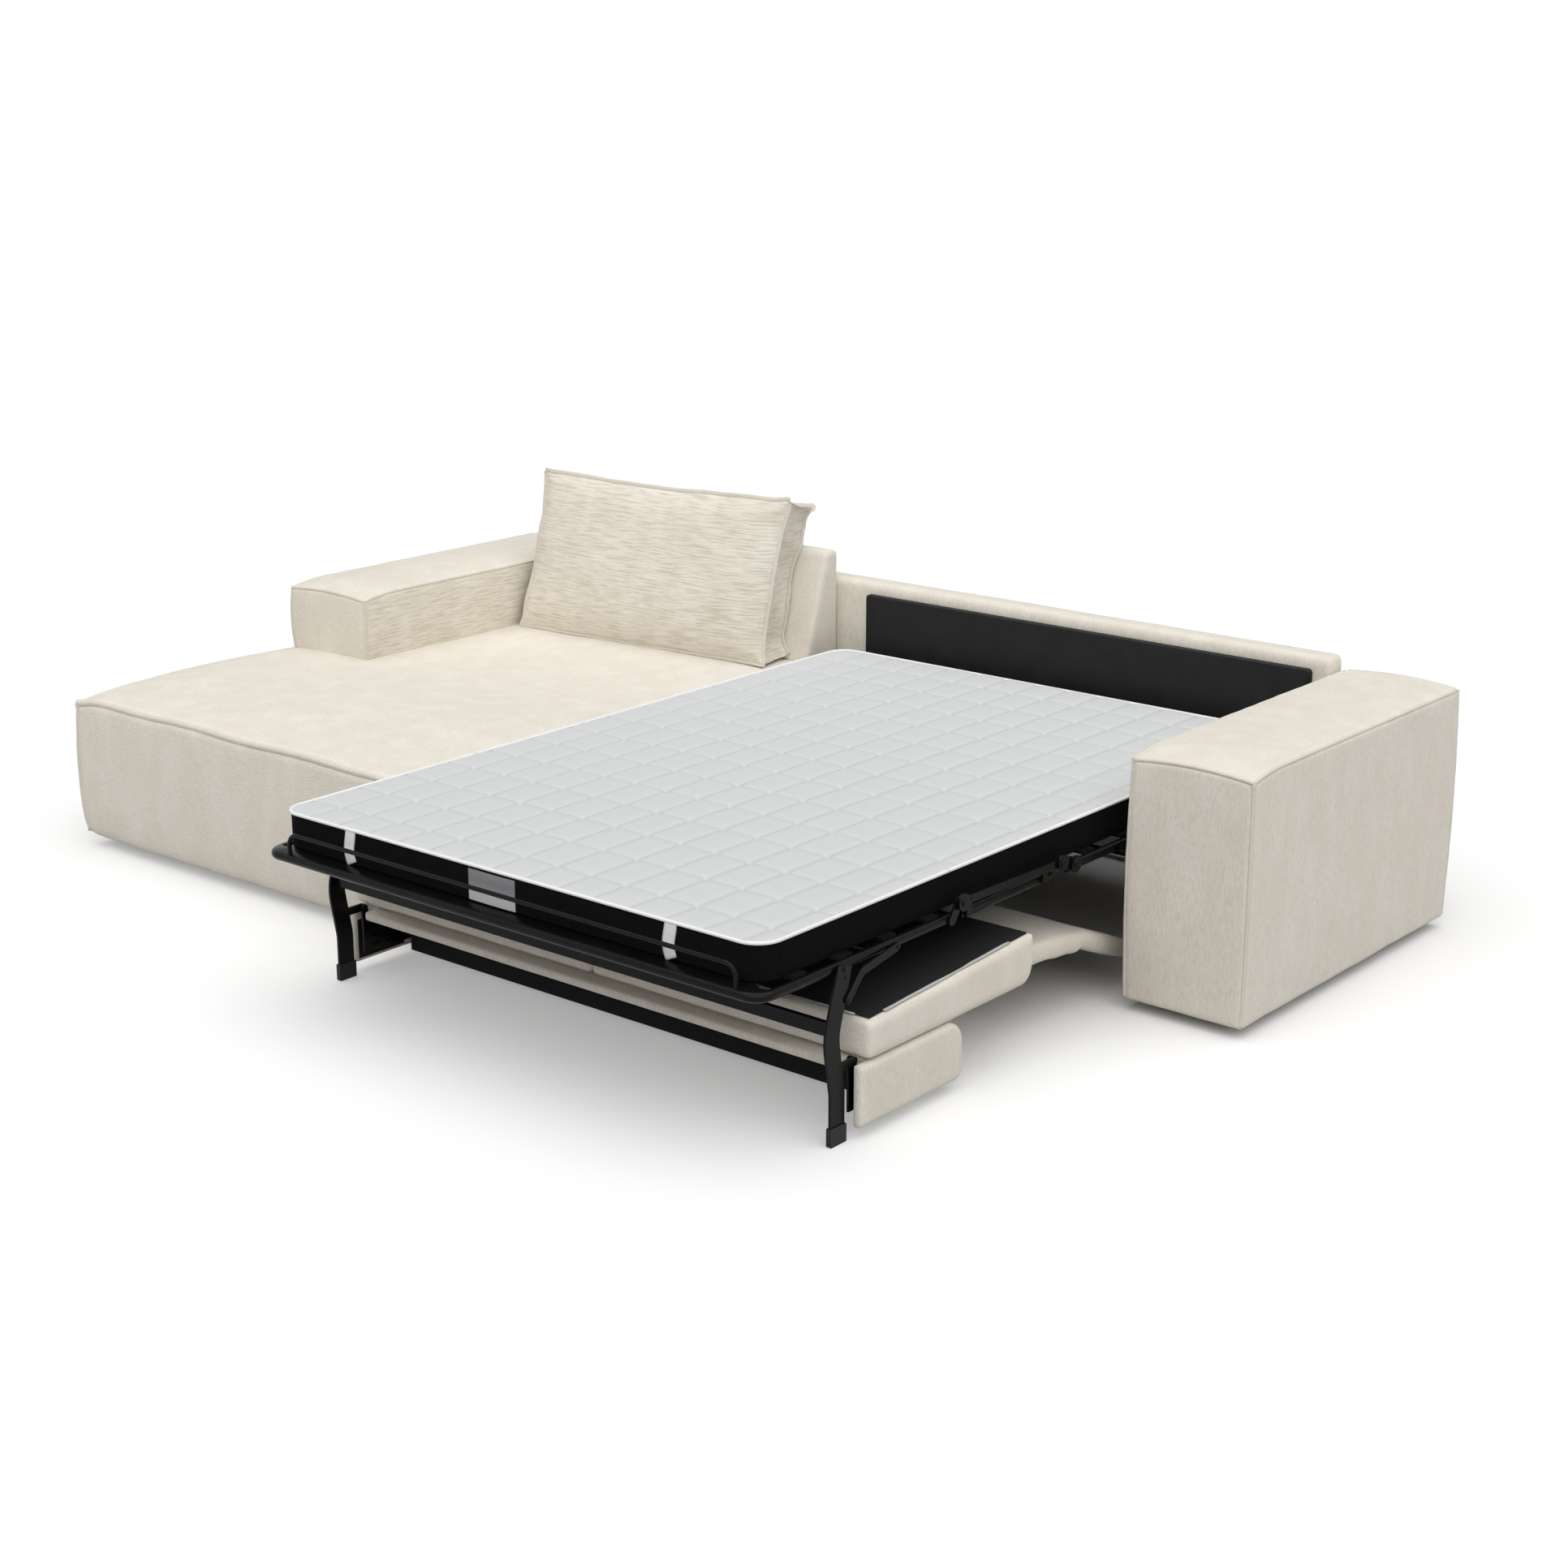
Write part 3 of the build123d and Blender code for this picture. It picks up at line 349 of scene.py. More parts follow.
def scaled_noise(make, tree, stretch, scale, detail):
    """Noise over object coordinates, stretched along the axes."""
    coords = make("ShaderNodeTexCoord")
    place = make("ShaderNodeMapping", Scale=stretch)
    tree.links.new(coords.outputs["Object"], place.inputs["Vector"])
    texture = make("ShaderNodeTexNoise", Scale=scale, Detail=detail)
    tree.links.new(place.outputs["Vector"], texture.inputs["Vector"])
    return texture.outputs["Fac"]


def place_axes(make, tree):
    """The separate object coordinates of a point on a surface."""
    coords = make("ShaderNodeTexCoord")
    split = make("ShaderNodeSeparateXYZ")
    tree.links.new(coords.outputs["Object"], split.inputs["Vector"])
    return split.outputs


def combined(make, tree, operation, first, second):
    """The result of an operation on two outputs."""
    node = make("ShaderNodeMath", operation=operation)
    tree.links.new(first, node.inputs[0])
    tree.links.new(second, node.inputs[1])
    return node.outputs[0]


def shown_rays(make, tree):
    """One for rays that show a surface, and nought for light that bounces off it."""
    paths = make("ShaderNodeLightPath")
    seen = combined(make, tree, "MAXIMUM", paths.outputs["Is Camera Ray"], paths.outputs["Is Glossy Ray"])
    return combined(make, tree, "MAXIMUM", seen, paths.outputs["Is Transmission Ray"])


def add_relief(make, tree, shader, height, strength, distance):
    """A fine raised grain on a shader."""
    node = make("ShaderNodeBump", Strength=strength, Distance=distance)
    tree.links.new(height, node.inputs["Height"])
    tree.links.new(node.outputs["Normal"], shader.inputs["Normal"])


def blend_colours(make, tree, share, first, second):
    """The first colour darkened by the second, by a share."""
    node = make("ShaderNodeMix", data_type="RGBA", blend_type="MULTIPLY")
    node.inputs["Factor"].default_value = share
    tree.links.new(first, node.inputs["A"])
    tree.links.new(second, node.inputs["B"])
    return node.outputs["Result"]


def fabric(name, grain, tone, thin, long, streak, bump):
    """Chenille with slubs along one axis, brushed patches and a fine weave."""
    material, tree, shader, make = new_material(name)
    grains = {
        "x": (long, thin, thin),
        "y": (thin, long, thin),
        "z": (thin, thin, long),
        "level": (long, long, thin),
    }
    slub = scaled_noise(make, tree, grains[grain], 1.0, 3.0)
    weave = scaled_noise(make, tree, (1, 1, 1), 900.0, 2.0)
    patch = scaled_noise(make, tree, (1.6, 1.6, 0.7), 9.0, 7.0)
    deep = tuple(c * s for c, s in zip(tone, (0.95, 0.94, 0.92)))
    broad = ramp(make, tree, patch, 0.42, 0.66, deep, tone)
    fine = ramp(make, tree, slub, 0.34, 0.56, (0.78, 0.755, 0.71), (1, 1, 1))
    dots = ramp(make, tree, weave, 0.3, 0.7, (0.92, 0.915, 0.9), (1, 1, 1))
    colour = blend_colours(make, tree, streak, broad.outputs["Color"], fine.outputs["Color"])
    colour = blend_colours(make, tree, 0.6, colour, dots.outputs["Color"])
    tree.links.new(colour, shader.inputs["Base Color"])
    height = make("ShaderNodeMath", operation="MULTIPLY_ADD")
    height.inputs[1].default_value = 0.05
    tree.links.new(weave, height.inputs[0])
    tree.links.new(slub, height.inputs[2])
    add_relief(make, tree, shader, height.outputs[0], bump, 0.0026)
    shader.inputs["Roughness"].default_value = 0.92
    shader.inputs["Specular IOR Level"].default_value = 0.18
    shader.inputs["Sheen Weight"].default_value = 0.45
    shader.inputs["Sheen Roughness"].default_value = 0.4
    shader.inputs["Sheen Tint"].default_value = (1.0, 0.99, 0.97, 1)
    return material


def black_paint(name, tone, rough_low, rough_high, shine, bump=0.06):
    """Satin black coating with slight unevenness and worn sheen."""
    material, tree, shader, make = new_material(name)
    grain = scaled_noise(make, tree, (1, 1, 1), 420.0, 3.0)
    wear = scaled_noise(make, tree, (1, 1, 1), 14.0, 5.0)
    dark = tuple(c * 0.8 for c in tone)
    light = tuple(c * 1.35 for c in tone)
    colour = ramp(make, tree, wear, 0.3, 0.75, dark, light)
    tree.links.new(colour.outputs["Color"], shader.inputs["Base Color"])
    rough = make("ShaderNodeMapRange")
    rough.inputs["To Min"].default_value = rough_low
    rough.inputs["To Max"].default_value = rough_high
    tree.links.new(wear, rough.inputs["Value"])
    tree.links.new(rough.outputs["Result"], shader.inputs["Roughness"])
    add_relief(make, tree, shader, grain, bump, 0.0006)
    shader.inputs["Specular IOR Level"].default_value = shine
    return material


def cloth(name, dark, light, scale, bump, roughness=0.95, shine=0.2, stretch=(1, 1, 1)):
    """A plain fine cloth with a speckled weave."""
    material, tree, shader, make = new_material(name)
    weave = scaled_noise(make, tree, stretch, scale, 3.0)
    colour = ramp(make, tree, weave, 0.35, 0.68, dark, light)
    tree.links.new(colour.outputs["Color"], shader.inputs["Base Color"])
    add_relief(make, tree, shader, weave, bump, 0.0008)
    shader.inputs["Roughness"].default_value = roughness
    shader.inputs["Specular IOR Level"].default_value = shine
    return material


TONE = (0.88, 0.832, 0.748)
slub_x = fabric("beige_slub_across", "level", TONE, 215.0, 17.0, 0.8, 1.1)
fabric_x = fabric("beige_weave_across", "x", TONE, 330.0, 110.0, 0.4, 0.5)
fabric_y = fabric("beige_slub_along", "y", TONE, 215.0, 17.0, 0.85, 1.2)
fabric_z = fabric("beige_weave_upright", "z", TONE, 330.0, 60.0, 0.45, 0.5)
# Painted shade: the welts are the same beige at nine tenths of its tone, darker for the shade along the
# rolled edges
welt = fabric("beige_welt_painted_shade", "x", tuple(c * 0.9 for c in TONE), 330.0, 110.0, 0.3, 0.3)
metal = black_paint("satin_black", (0.004, 0.004, 0.0043), 0.18, 0.32, 0.11)
panel_black = black_paint("panel_black", (0.012, 0.012, 0.013), 0.5, 0.65, 0.2, 0.12)
plastic = black_paint("cap_plastic", (0.014, 0.014, 0.015), 0.35, 0.55, 0.2, 0.15)
mattress_side = cloth("mattress_side", (0.003, 0.003, 0.003), (0.009, 0.009, 0.0095), 520.0, 0.3, 0.9, 0.04)
white_tape = cloth("white_tape", (0.84, 0.84, 0.835), (0.93, 0.93, 0.925), 900.0, 0.2, 0.8)
felt = cloth("black_felt", (0.008, 0.008, 0.009), (0.022, 0.022, 0.023), 600.0, 0.35)
pale_strip = cloth("pale_strip", (0.5, 0.5, 0.49), (0.64, 0.64, 0.63), 700.0, 0.3)
wood = cloth("slat_black", (0.003, 0.003, 0.003), (0.009, 0.0085, 0.008), 1.0, 0.15, 0.7, 0.06, (3, 160, 160))


def painted_channel_shade(make, tree, coordinate, start, pitch, reach, dark):
    """A factor that falls beside evenly spaced sewn lines, for painted shade in the channels."""
    shifted = make("ShaderNodeMath", operation="SUBTRACT")
    shifted.inputs[1].default_value = start
    tree.links.new(coordinate, shifted.inputs[0])
    away = make("ShaderNodeMath", operation="PINGPONG")
    away.inputs[1].default_value = pitch / 2
    tree.links.new(shifted.outputs[0], away.inputs[0])
    tone = make("ShaderNodeMapRange", interpolation_type="SMOOTHSTEP")
    tone.inputs["From Max"].default_value = reach
    tone.inputs["To Min"].default_value = dark
    tree.links.new(away.outputs[0], tone.inputs["Value"])
    return tone.outputs["Result"]


def quilted_knit():
    """The mattress's pale knit, with painted shade along its sewn channels."""
    material, tree, shader, make = new_material("mattress_knit")
    place = place_axes(make, tree)
    weave = scaled_noise(make, tree, (1, 1, 1), 700.0, 3.0)
    base = ramp(make, tree, weave, 0.35, 0.68, (0.588, 0.6, 0.602), (0.653, 0.662, 0.664))
    # Painted shade: the knit is darkened to 0.87 and 0.92 beside the sewn channels, where the grooves are
    # shaded
    along = painted_channel_shade(make, tree, place["X"], FIRST_CHANNEL_X, QUILT_X, 0.007, 0.87)
    across = painted_channel_shade(make, tree, place["Y"], FIRST_CHANNEL_Y, QUILT_Y, 0.007, 0.92)
    lines = combined(make, tree, "MULTIPLY", along, across)
    colour = blend_colours(make, tree, 1.0, base.outputs["Color"], lines)
    tree.links.new(colour, shader.inputs["Base Color"])
    add_relief(make, tree, shader, weave, 0.15, 0.0008)
    shader.inputs["Roughness"].default_value = 0.8
    shader.inputs["Specular IOR Level"].default_value = 0.25
    return material


mattress_top = quilted_knit()
LABEL_SPLIT = 0.411


def label_material():
    """A bare two-tone label: grey above, white below."""
    material, tree, shader, make = new_material("bare_label")
    share = make("ShaderNodeMath", operation="GREATER_THAN")
    share.inputs[1].default_value = LABEL_SPLIT
    tree.links.new(place_axes(make, tree)["Z"], share.inputs[0])
    tones = ramp(make, tree, share.outputs[0], 0.0, 1.0, (0.66, 0.66, 0.67), (0.24, 0.24, 0.25))
    weave = scaled_noise(make, tree, (1, 1, 1), 1200.0, 2.0)
    speck = ramp(make, tree, weave, 0.3, 0.7, (0.9, 0.9, 0.9), (1, 1, 1))
    colour = blend_colours(make, tree, 1.0, tones.outputs["Color"], speck.outputs["Color"])
    tree.links.new(colour, shader.inputs["Base Color"])
    shader.inputs["Roughness"].default_value = 0.45
    return material


# Soft pieces made from their solids


def soft_piece(name, node, body, material, voxel, rounds, wrinkle, scale, seed):
    """An upholstered piece over a node's form, with eased edges and slight unevenness."""
    replaced = node if isinstance(node, tuple) else (node,)
    mesh = softened(replaced, voxel, rounds)
    points = points_of(mesh)
    normals = normals_of(mesh)
    waves = fractal(points, scale, seed)
    set_points(mesh, points + normals * (waves * wrinkle)[:, None])
    piece = add_object(name, mesh, material)
    if body is not None:
        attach(piece, body)
    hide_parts(*replaced)
    return piece


# Unevenness of the blocks: broad waves, and a share of finer ones
BROAD_WAVES = 4.0
FINE_WAVES = 11.0
FINE_SHARE = 0.45


def block_cover(name, node, body, material, block, step, seed, wrinkle):
    """An upholstered box over a node: rounded, then shaped by a function of its points."""
    low, high, radius, valley, form = block
    raw, faces = box_grid(low, high, radius, step)
    points, out = rounded(raw, low, high, radius, valley)
    points = form(points)
    waves = fractal(points, BROAD_WAVES, seed) + FINE_SHARE * fractal(points, FINE_WAVES, seed + 3.0)
    points = points + out * (waves * wrinkle)[:, None]
    piece = add_object(name, mesh_of(name, points, faces), material)
    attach(piece, body)
    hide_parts(node)
    return piece


# Welts: spacing of their points, how far they stand out of the edge and how uneven they are
WELT_STEP = 0.012
WELT_STAND = 0.88
WELT_RIPPLE = 0.0008


def edge_welts(name, body, block, thickness, edges):
    """Welts on chosen edges of an upholstered box, shaped by the same function as the box."""
    low, high, radius, valley, form = block
    corners = np.array((low, high))
    for number, (start, end) in enumerate(edges, 1):
        line = [[corners[pick][axis] for axis, pick in enumerate(place)] for place in (start, end)]
        raw = resampled(line, WELT_STEP)
        raw[:, 2] = np.maximum(raw[:, 2], low[2] + 0.6 * radius)
        if end[1] > start[1]:
            raw = raw[raw[:, 1] < high[1] - radius]
        elif start[1] == 1 and start[2] == end[2]:
            raw = raw[1:-1]
        points, out = rounded(raw, low, high, radius, valley)
        ripple = fractal(raw, 16.0, number * 2.3)[:, None]
        points = form(points) + out * (thickness * WELT_STAND + ripple * WELT_RIPPLE)
        cord = add_object(f"{name}_welt_{number}", tube_mesh(points, thickness), welt)
        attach(cord, body)


# Edges of a box, each from one corner to another
FRONT_TOP = ((0, 0, 1), (1, 0, 1))
LEFT_TOP = ((0, 0, 1), (0, 1, 1))
RIGHT_TOP = ((1, 0, 1), (1, 1, 1))
REAR_TOP = ((0, 1, 1), (1, 1, 1))
LEFT_UP = ((0, 0, 0), (0, 0, 1))
RIGHT_UP = ((1, 0, 0), (1, 0, 1))
REAR_UP = ((1, 1, 0), (1, 1, 1))

# Chaise
chaise_low = (-1.5645, -0.636, 0.025)
chaise_high = (-0.2815, 1.096, 0.421)
PUFF_END = 0.75
CHAISE_RADIUS = 0.02
CHAISE_VALLEY = 0.012
CHAISE_WELT = 0.0088
SEAM_POINTS = 40


def chaise_form(points):
    """Full sides, a front seam that arches and a top that swells before the arm."""
    shaped = points.copy()
    size = np.array(chaise_high) - np.array(chaise_low)
    u, t, h = ((points - np.array(chaise_low)) / size).T
    along = t * size[1]
    middle = 4 * h * (1 - h)
    shaped[:, 0] += (2 * u - 1) * 0.005 * middle
    shaped[:, 1] -= 0.010 * middle * np.clip(1 - along / 0.25, 0, 1)
    run = np.clip(along / PUFF_END, 0, 1)
    edge = np.abs(2 * u - 1) ** 10
    corner = np.exp(-((u * size[0]) ** 2 + along ** 2) / 0.006)
    rise = 0.016 * np.sin(pi * run) * (1 - 0.4 * edge) - 0.006 * (1 - run) ** 2 - 0.010 * edge
    rise = rise - 0.010 * corner + 0.0025 * np.sin(u * 19.0 + 0.8) * np.exp(-(along / 0.08) ** 2)
    shaped[:, 2] += np.clip(h, 0, 1) ** 2 * rise
    tuck = np.exp(-h * size[2] / 0.022)
    shaped[:, 0] -= (2 * u - 1) * 0.02 * tuck
    shaped[:, 1] += 0.008 * tuck * np.exp(-along / 0.1)
    return shaped


chaise_block = (chaise_low, chaise_high, CHAISE_RADIUS, CHAISE_VALLEY, chaise_form)
chaise = block_cover("chaise_cover", "chaise_block", "sofa_body", fabric_x, chaise_block, 0.021, 1.0, 0.002)
chaise_edges = (FRONT_TOP, LEFT_TOP, RIGHT_TOP, LEFT_UP, RIGHT_UP)
edge_welts("chaise", "sofa_body", chaise_block, CHAISE_WELT, chaise_edges)
seam_x = np.linspace(chaise_low[0] + 0.33, chaise_high[0] - 0.01, SEAM_POINTS)
seam_share = (seam_x - chaise_low[0]) / (chaise_high[0] - chaise_low[0])
seam_y = 0.205 - 0.05 * (2 * seam_share - 1) ** 2
seam_path = np.stack((seam_x, seam_y, np.full(SEAM_POINTS, 0.425)), axis=1)
seam = piping("chaise_cross_seam", seam_path, chaise, welt, 0.0011, 0.0002)
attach(seam, "sofa_body")

# Arms
ARM_RADIUS = 0.012
ARM_VALLEY = 0.006
ARM_STEP = 0.02
ARM_WRINKLE = 0.0016
ARM_WELT = 0.0045
ARM_EDGES = (FRONT_TOP, LEFT_TOP, RIGHT_TOP, REAR_TOP, LEFT_UP, RIGHT_UP)


def arm_block(low, high):
    """An arm between two corners: full sides, a crowned top that drops at the front."""
    size = np.array(high) - np.array(low)

    def form(points):
        shaped = points.copy()
        u, t, h = ((points - np.array(low)) / size).T
        middle = 4 * h * (1 - h)
        shaped[:, 0] += (2 * u - 1) * 0.005 * middle
        shaped[:, 1] += (2 * t - 1) * 0.005 * middle
        drop = 0.016 * np.clip(1 - t * size[1] / 0.13, 0, 1) ** 2
        crown = 0.011 * (2 * u - 1) ** 2
        shaped[:, 2] -= np.clip(h, 0, 1) ** 2 * (drop + crown)
        return shaped

    return low, high, ARM_RADIUS, ARM_VALLEY, form


left_block = arm_block((-1.5595, 0.11, 0.405), (-1.2465, 1.091, 0.614))
left_arm = block_cover(
    "left_arm_cover", "left_arm", "sofa_body", fabric_y, left_block, ARM_STEP, 2.0, ARM_WRINKLE,
)
left_arm.data.materials.append(fabric_x)
for face in left_arm.data.polygons:
    if abs(face.normal.x) < 0.7:
        face.material_index = 1
edge_welts("left_arm", "sofa_body", left_block, ARM_WELT, ARM_EDGES)
right_block = arm_block((1.2585, 0.11, 0.025), (1.5645, 1.091, 0.614))
block_cover("right_arm_cover", "right_arm", "sofa_body", fabric_z, right_block, ARM_STEP, 3.0, ARM_WRINKLE)
edge_welts("right_arm", "sofa_body", right_block, ARM_WELT, (*ARM_EDGES, REAR_UP))

# Backs, seat cushions, lip and backrest
soft_piece("chaise_back_cover", "chaise_back", "sofa_body", fabric_z, 0.011, 3, 0.001, 5.0, 4.0)
soft_piece("long_back_cover", "long_back", "sofa_body", fabric_z, 0.011, 3, 0.001, 5.0, 5.0)
soft_piece("left_seat_cover", "left_seat_cushion", "foot_section", fabric_x, 0.01, 3, 0.0008, 6.0, 6.0)
soft_piece("right_seat_cover", "right_seat_cushion", "foot_section", fabric_x, 0.01, 3, 0.0008, 6.0, 7.0)
lip_nodes = ("seat_lip", "front_apron")
lip = soft_piece("seat_lip_cover", lip_nodes, None, fabric_x, 0.009, 14, 0.002, 7.0, 8.0)
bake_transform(lip)
soft_piece("backrest_cover", "backrest_pad", "backrest", fabric_z, 0.005, 3, 0.0004, 5.0, 10.0)

# Loose back cushion
CUSHION_WIDTH = 0.8824
CUSHION_HEIGHT = 0.436
CUSHION_THICK = 0.115
CUSHION_LEAN = radians(17.0)
CUSHION_TURN = radians(4.6)
CUSHION_SEAT = np.array((-0.7905, 0.84466, 0.4213))
CUSHION_WAVES = 0.0028
CUSHION_CREASE = 0.006
FLANGE_WIDTH = 0.014
FLANGE_THICK = 0.005
CUSHION_AXES = np.array((
    (cos(CUSHION_TURN), sin(CUSHION_TURN), 0.0),
    (-sin(CUSHION_TURN) * sin(CUSHION_LEAN), cos(CUSHION_TURN) * sin(CUSHION_LEAN), cos(CUSHION_LEAN)),
    (sin(CUSHION_TURN) * cos(CUSHION_LEAN), -cos(CUSHION_TURN) * cos(CUSHION_LEAN), sin(CUSHION_LEAN)),
))

# The cloth run of the cushion: frames, pressure, stiffness and the most that a point may move
CLOTH_FRAMES = 18
CLOTH_PRESSURE = 2.5
CLOTH_STIFFNESS = 12
CLOTH_CAP = 0.008


def cushion_form(points):
    """A boxed cushion in its own axes: sides drawn in, a full face and a hollow boxing strip."""
    a = 2 * points[:, 0] / CUSHION_WIDTH
    b = 2 * points[:, 1] / CUSHION_HEIGHT - 1
    c = points[:, 2] / CUSHION_THICK
    shaped = points.copy()
    strip = 4 * c * (1 - c)
    side_edge = np.clip(np.abs(a), 0, 1) ** 14
    top_edge = np.clip(np.abs(b), 0, 1) ** 10
    behind = np.clip(1 - c, 0, 1) * (0.016 * (1 - b ** 8) + 0.005 * np.sin(8.0 * b + 1.2))
    shaped[:, 0] -= np.sign(a) * side_edge * (0.012 * (1 - b ** 2) + 0.004 * strip + behind)
    shaped[:, 1] -= top_edge * (b > 0) * (0.010 * (1 - a ** 2) + 0.004 * strip)
    across = np.clip(1 - a ** 2, 0, 1) ** 0.45
    upright = np.clip(1 - b ** 2, 0, 1) ** 0.7
    shaped[:, 2] += c * 0.046 * across * upright * (1 - 0.25 * b)
    low = np.clip(1 - shaped[:, 1] / CUSHION_HEIGHT, 0, 1)
    shaped[:, 1] -= low * shaped[:, 2] * sin(CUSHION_LEAN) / cos(CUSHION_LEAN)
    return shaped


def cushion_world(points):
    """Points of the cushion's own axes in the frame."""
    return CUSHION_SEAT + points @ CUSHION_AXES


def loose_cushion():
    """The cushion's mesh, creased by a short cloth run, and its two seam lines."""
    low = (-CUSHION_WIDTH / 2, 0.0, 0.0)
    high = (CUSHION_WIDTH / 2, CUSHION_HEIGHT, CUSHION_THICK)
    raw, faces = box_grid(low, high, 0.005, 0.0125)
    start = cushion_world(cushion_form(raw))
    piece = add_object("loose_cushion_cover", mesh_of("loose_cushion_cover", start, faces), slub_x)
    final = start
    swell = piece.modifiers.new("swell", "CLOTH")
    swell.settings.use_pressure = True
    swell.settings.uniform_pressure_force = CLOTH_PRESSURE
    swell.settings.effector_weights.gravity = 0
    swell.settings.tension_stiffness = CLOTH_STIFFNESS
    swell.settings.compression_stiffness = CLOTH_STIFFNESS
    for step in range(1, CLOTH_FRAMES + 1):
        scene.frame_set(step)
    swollen = points_of(applied(piece))
    piece.modifiers.clear()
    scene.frame_set(1)
    move = swollen - start
    size = np.linalg.norm(move, axis=1)
    share = np.minimum(1.0, CLOTH_CAP / np.maximum(size, 1e-9))
    final = start + move * share[:, None]
    out = normals_of(piece.data)
    waves = fractal(final * np.array((1.0, 1.0, 1.8)), 6.0, 11.0)
    final = final + out * (waves * CUSHION_WAVES)[:, None]
    right = np.exp(-((raw[:, 0] - CUSHION_WIDTH / 2) / 0.03) ** 2)
    final = final + out * (right * fractal(final, 14.0, 4.0) * CUSHION_CREASE)[:, None]
    final[:, 2] = np.maximum(final[:, 2], CUSHION_SEAT[2])
    set_points(piece.data, final)
    seams = []
    for level in (CUSHION_THICK, 0.0):
        at_level = np.abs(raw[:, 2] - level) < 1e-6
        on_edge = (np.abs(np.abs(raw[:, 0]) - CUSHION_WIDTH / 2) < 1e-6) | (raw[:, 1] < 1e-6)
        on_edge |= np.abs(raw[:, 1] - CUSHION_HEIGHT) < 1e-6
        picked = np.nonzero(at_level & on_edge)[0]
        middle = np.array((0.0, CUSHION_HEIGHT / 2))
        turn = np.arctan2((raw[picked, 1] - middle[1]) / CUSHION_HEIGHT, raw[picked, 0] / CUSHION_WIDTH)
        picked = picked[np.argsort(turn)]
        outward = (raw[picked][:, :2] - middle) / np.array((CUSHION_WIDTH, CUSHION_HEIGHT))
        outward = np.sign(outward) * np.clip(np.abs(outward) * 2, 0, 1) ** 12
        seams.append((final[picked], outward @ CUSHION_AXES[:2]))
    return piece, seams


cushion, cushion_seams = loose_cushion()
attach(cushion, "cushion")
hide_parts("loose_cushion")
for number, (line, outward) in enumerate(cushion_seams, 1):
    sway = fractal(line, 13.0, number * 5.0)[:, None] * CUSHION_AXES[2] * 0.35
    band = flange(line, outward + sway, FLANGE_WIDTH, FLANGE_THICK)
    edge = add_object(f"loose_cushion_flange_{number}", band, welt)
    points = points_of(edge.data)
    points[:, 2] = np.maximum(points[:, 2], CUSHION_SEAT[2])
    set_points(edge.data, points)
    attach(edge, "cushion")

# Mattress
MATTRESS_BASE = 0.383
EDGE_Z = 0.460
CORNER = 0.055
HALF_WIDTH = 0.6955
EDGE_ROUND = 0.03


def quilt_height(x, y):
    """The mattress top above its edge line: a low crown with sewn channels both ways."""
    across = (x - BED_MID) / BED_HALF
    crown = 0.006 * (1 - across ** 2)
    dx = np.abs((x - FIRST_CHANNEL_X + QUILT_X / 2) % QUILT_X - QUILT_X / 2)
    dy = np.abs((y - FIRST_CHANNEL_Y + QUILT_Y / 2) % QUILT_Y - QUILT_Y / 2)
    groove = 0.005 * np.exp(-(dx / 0.009) ** 2) + 0.004 * np.exp(-(dy / 0.009) ** 2)
    return crown - groove


def mattress_outline(foot_end, head_end):
    """Half-width of the mattress at each y, with rounded corners at its ends."""
    def half(y):
        inset = 0.0
        if foot_end and y < FOOT_Y + CORNER:
            inset = CORNER - (max(0.0, CORNER ** 2 - (FOOT_Y + CORNER - y) ** 2)) ** 0.5
        if head_end and y > HEAD_Y - CORNER:
            inset = CORNER - (max(0.0, CORNER ** 2 - (y - HEAD_Y + CORNER) ** 2)) ** 0.5
        return HALF_WIDTH - inset
    return half


def fine_marks(start, end, pitch, first, step, fine):
    """Grid lines at even steps, closer beside each sewn channel."""
    marks = set(np.round(np.arange(start, end, step), 5))
    place = first
    while place < end:
        for shift in fine:
            if start < place + shift < end:
                marks.add(round(place + shift, 5))
        place += pitch
    marks.add(round(start, 5))
    marks.add(round(end, 5))
    marks = sorted(marks)
    kept = [marks[0]]
    for mark in marks[1:]:
        if mark - kept[-1] > 0.0025:
            kept.append(mark)
    kept[-1] = marks[-1]
    return kept


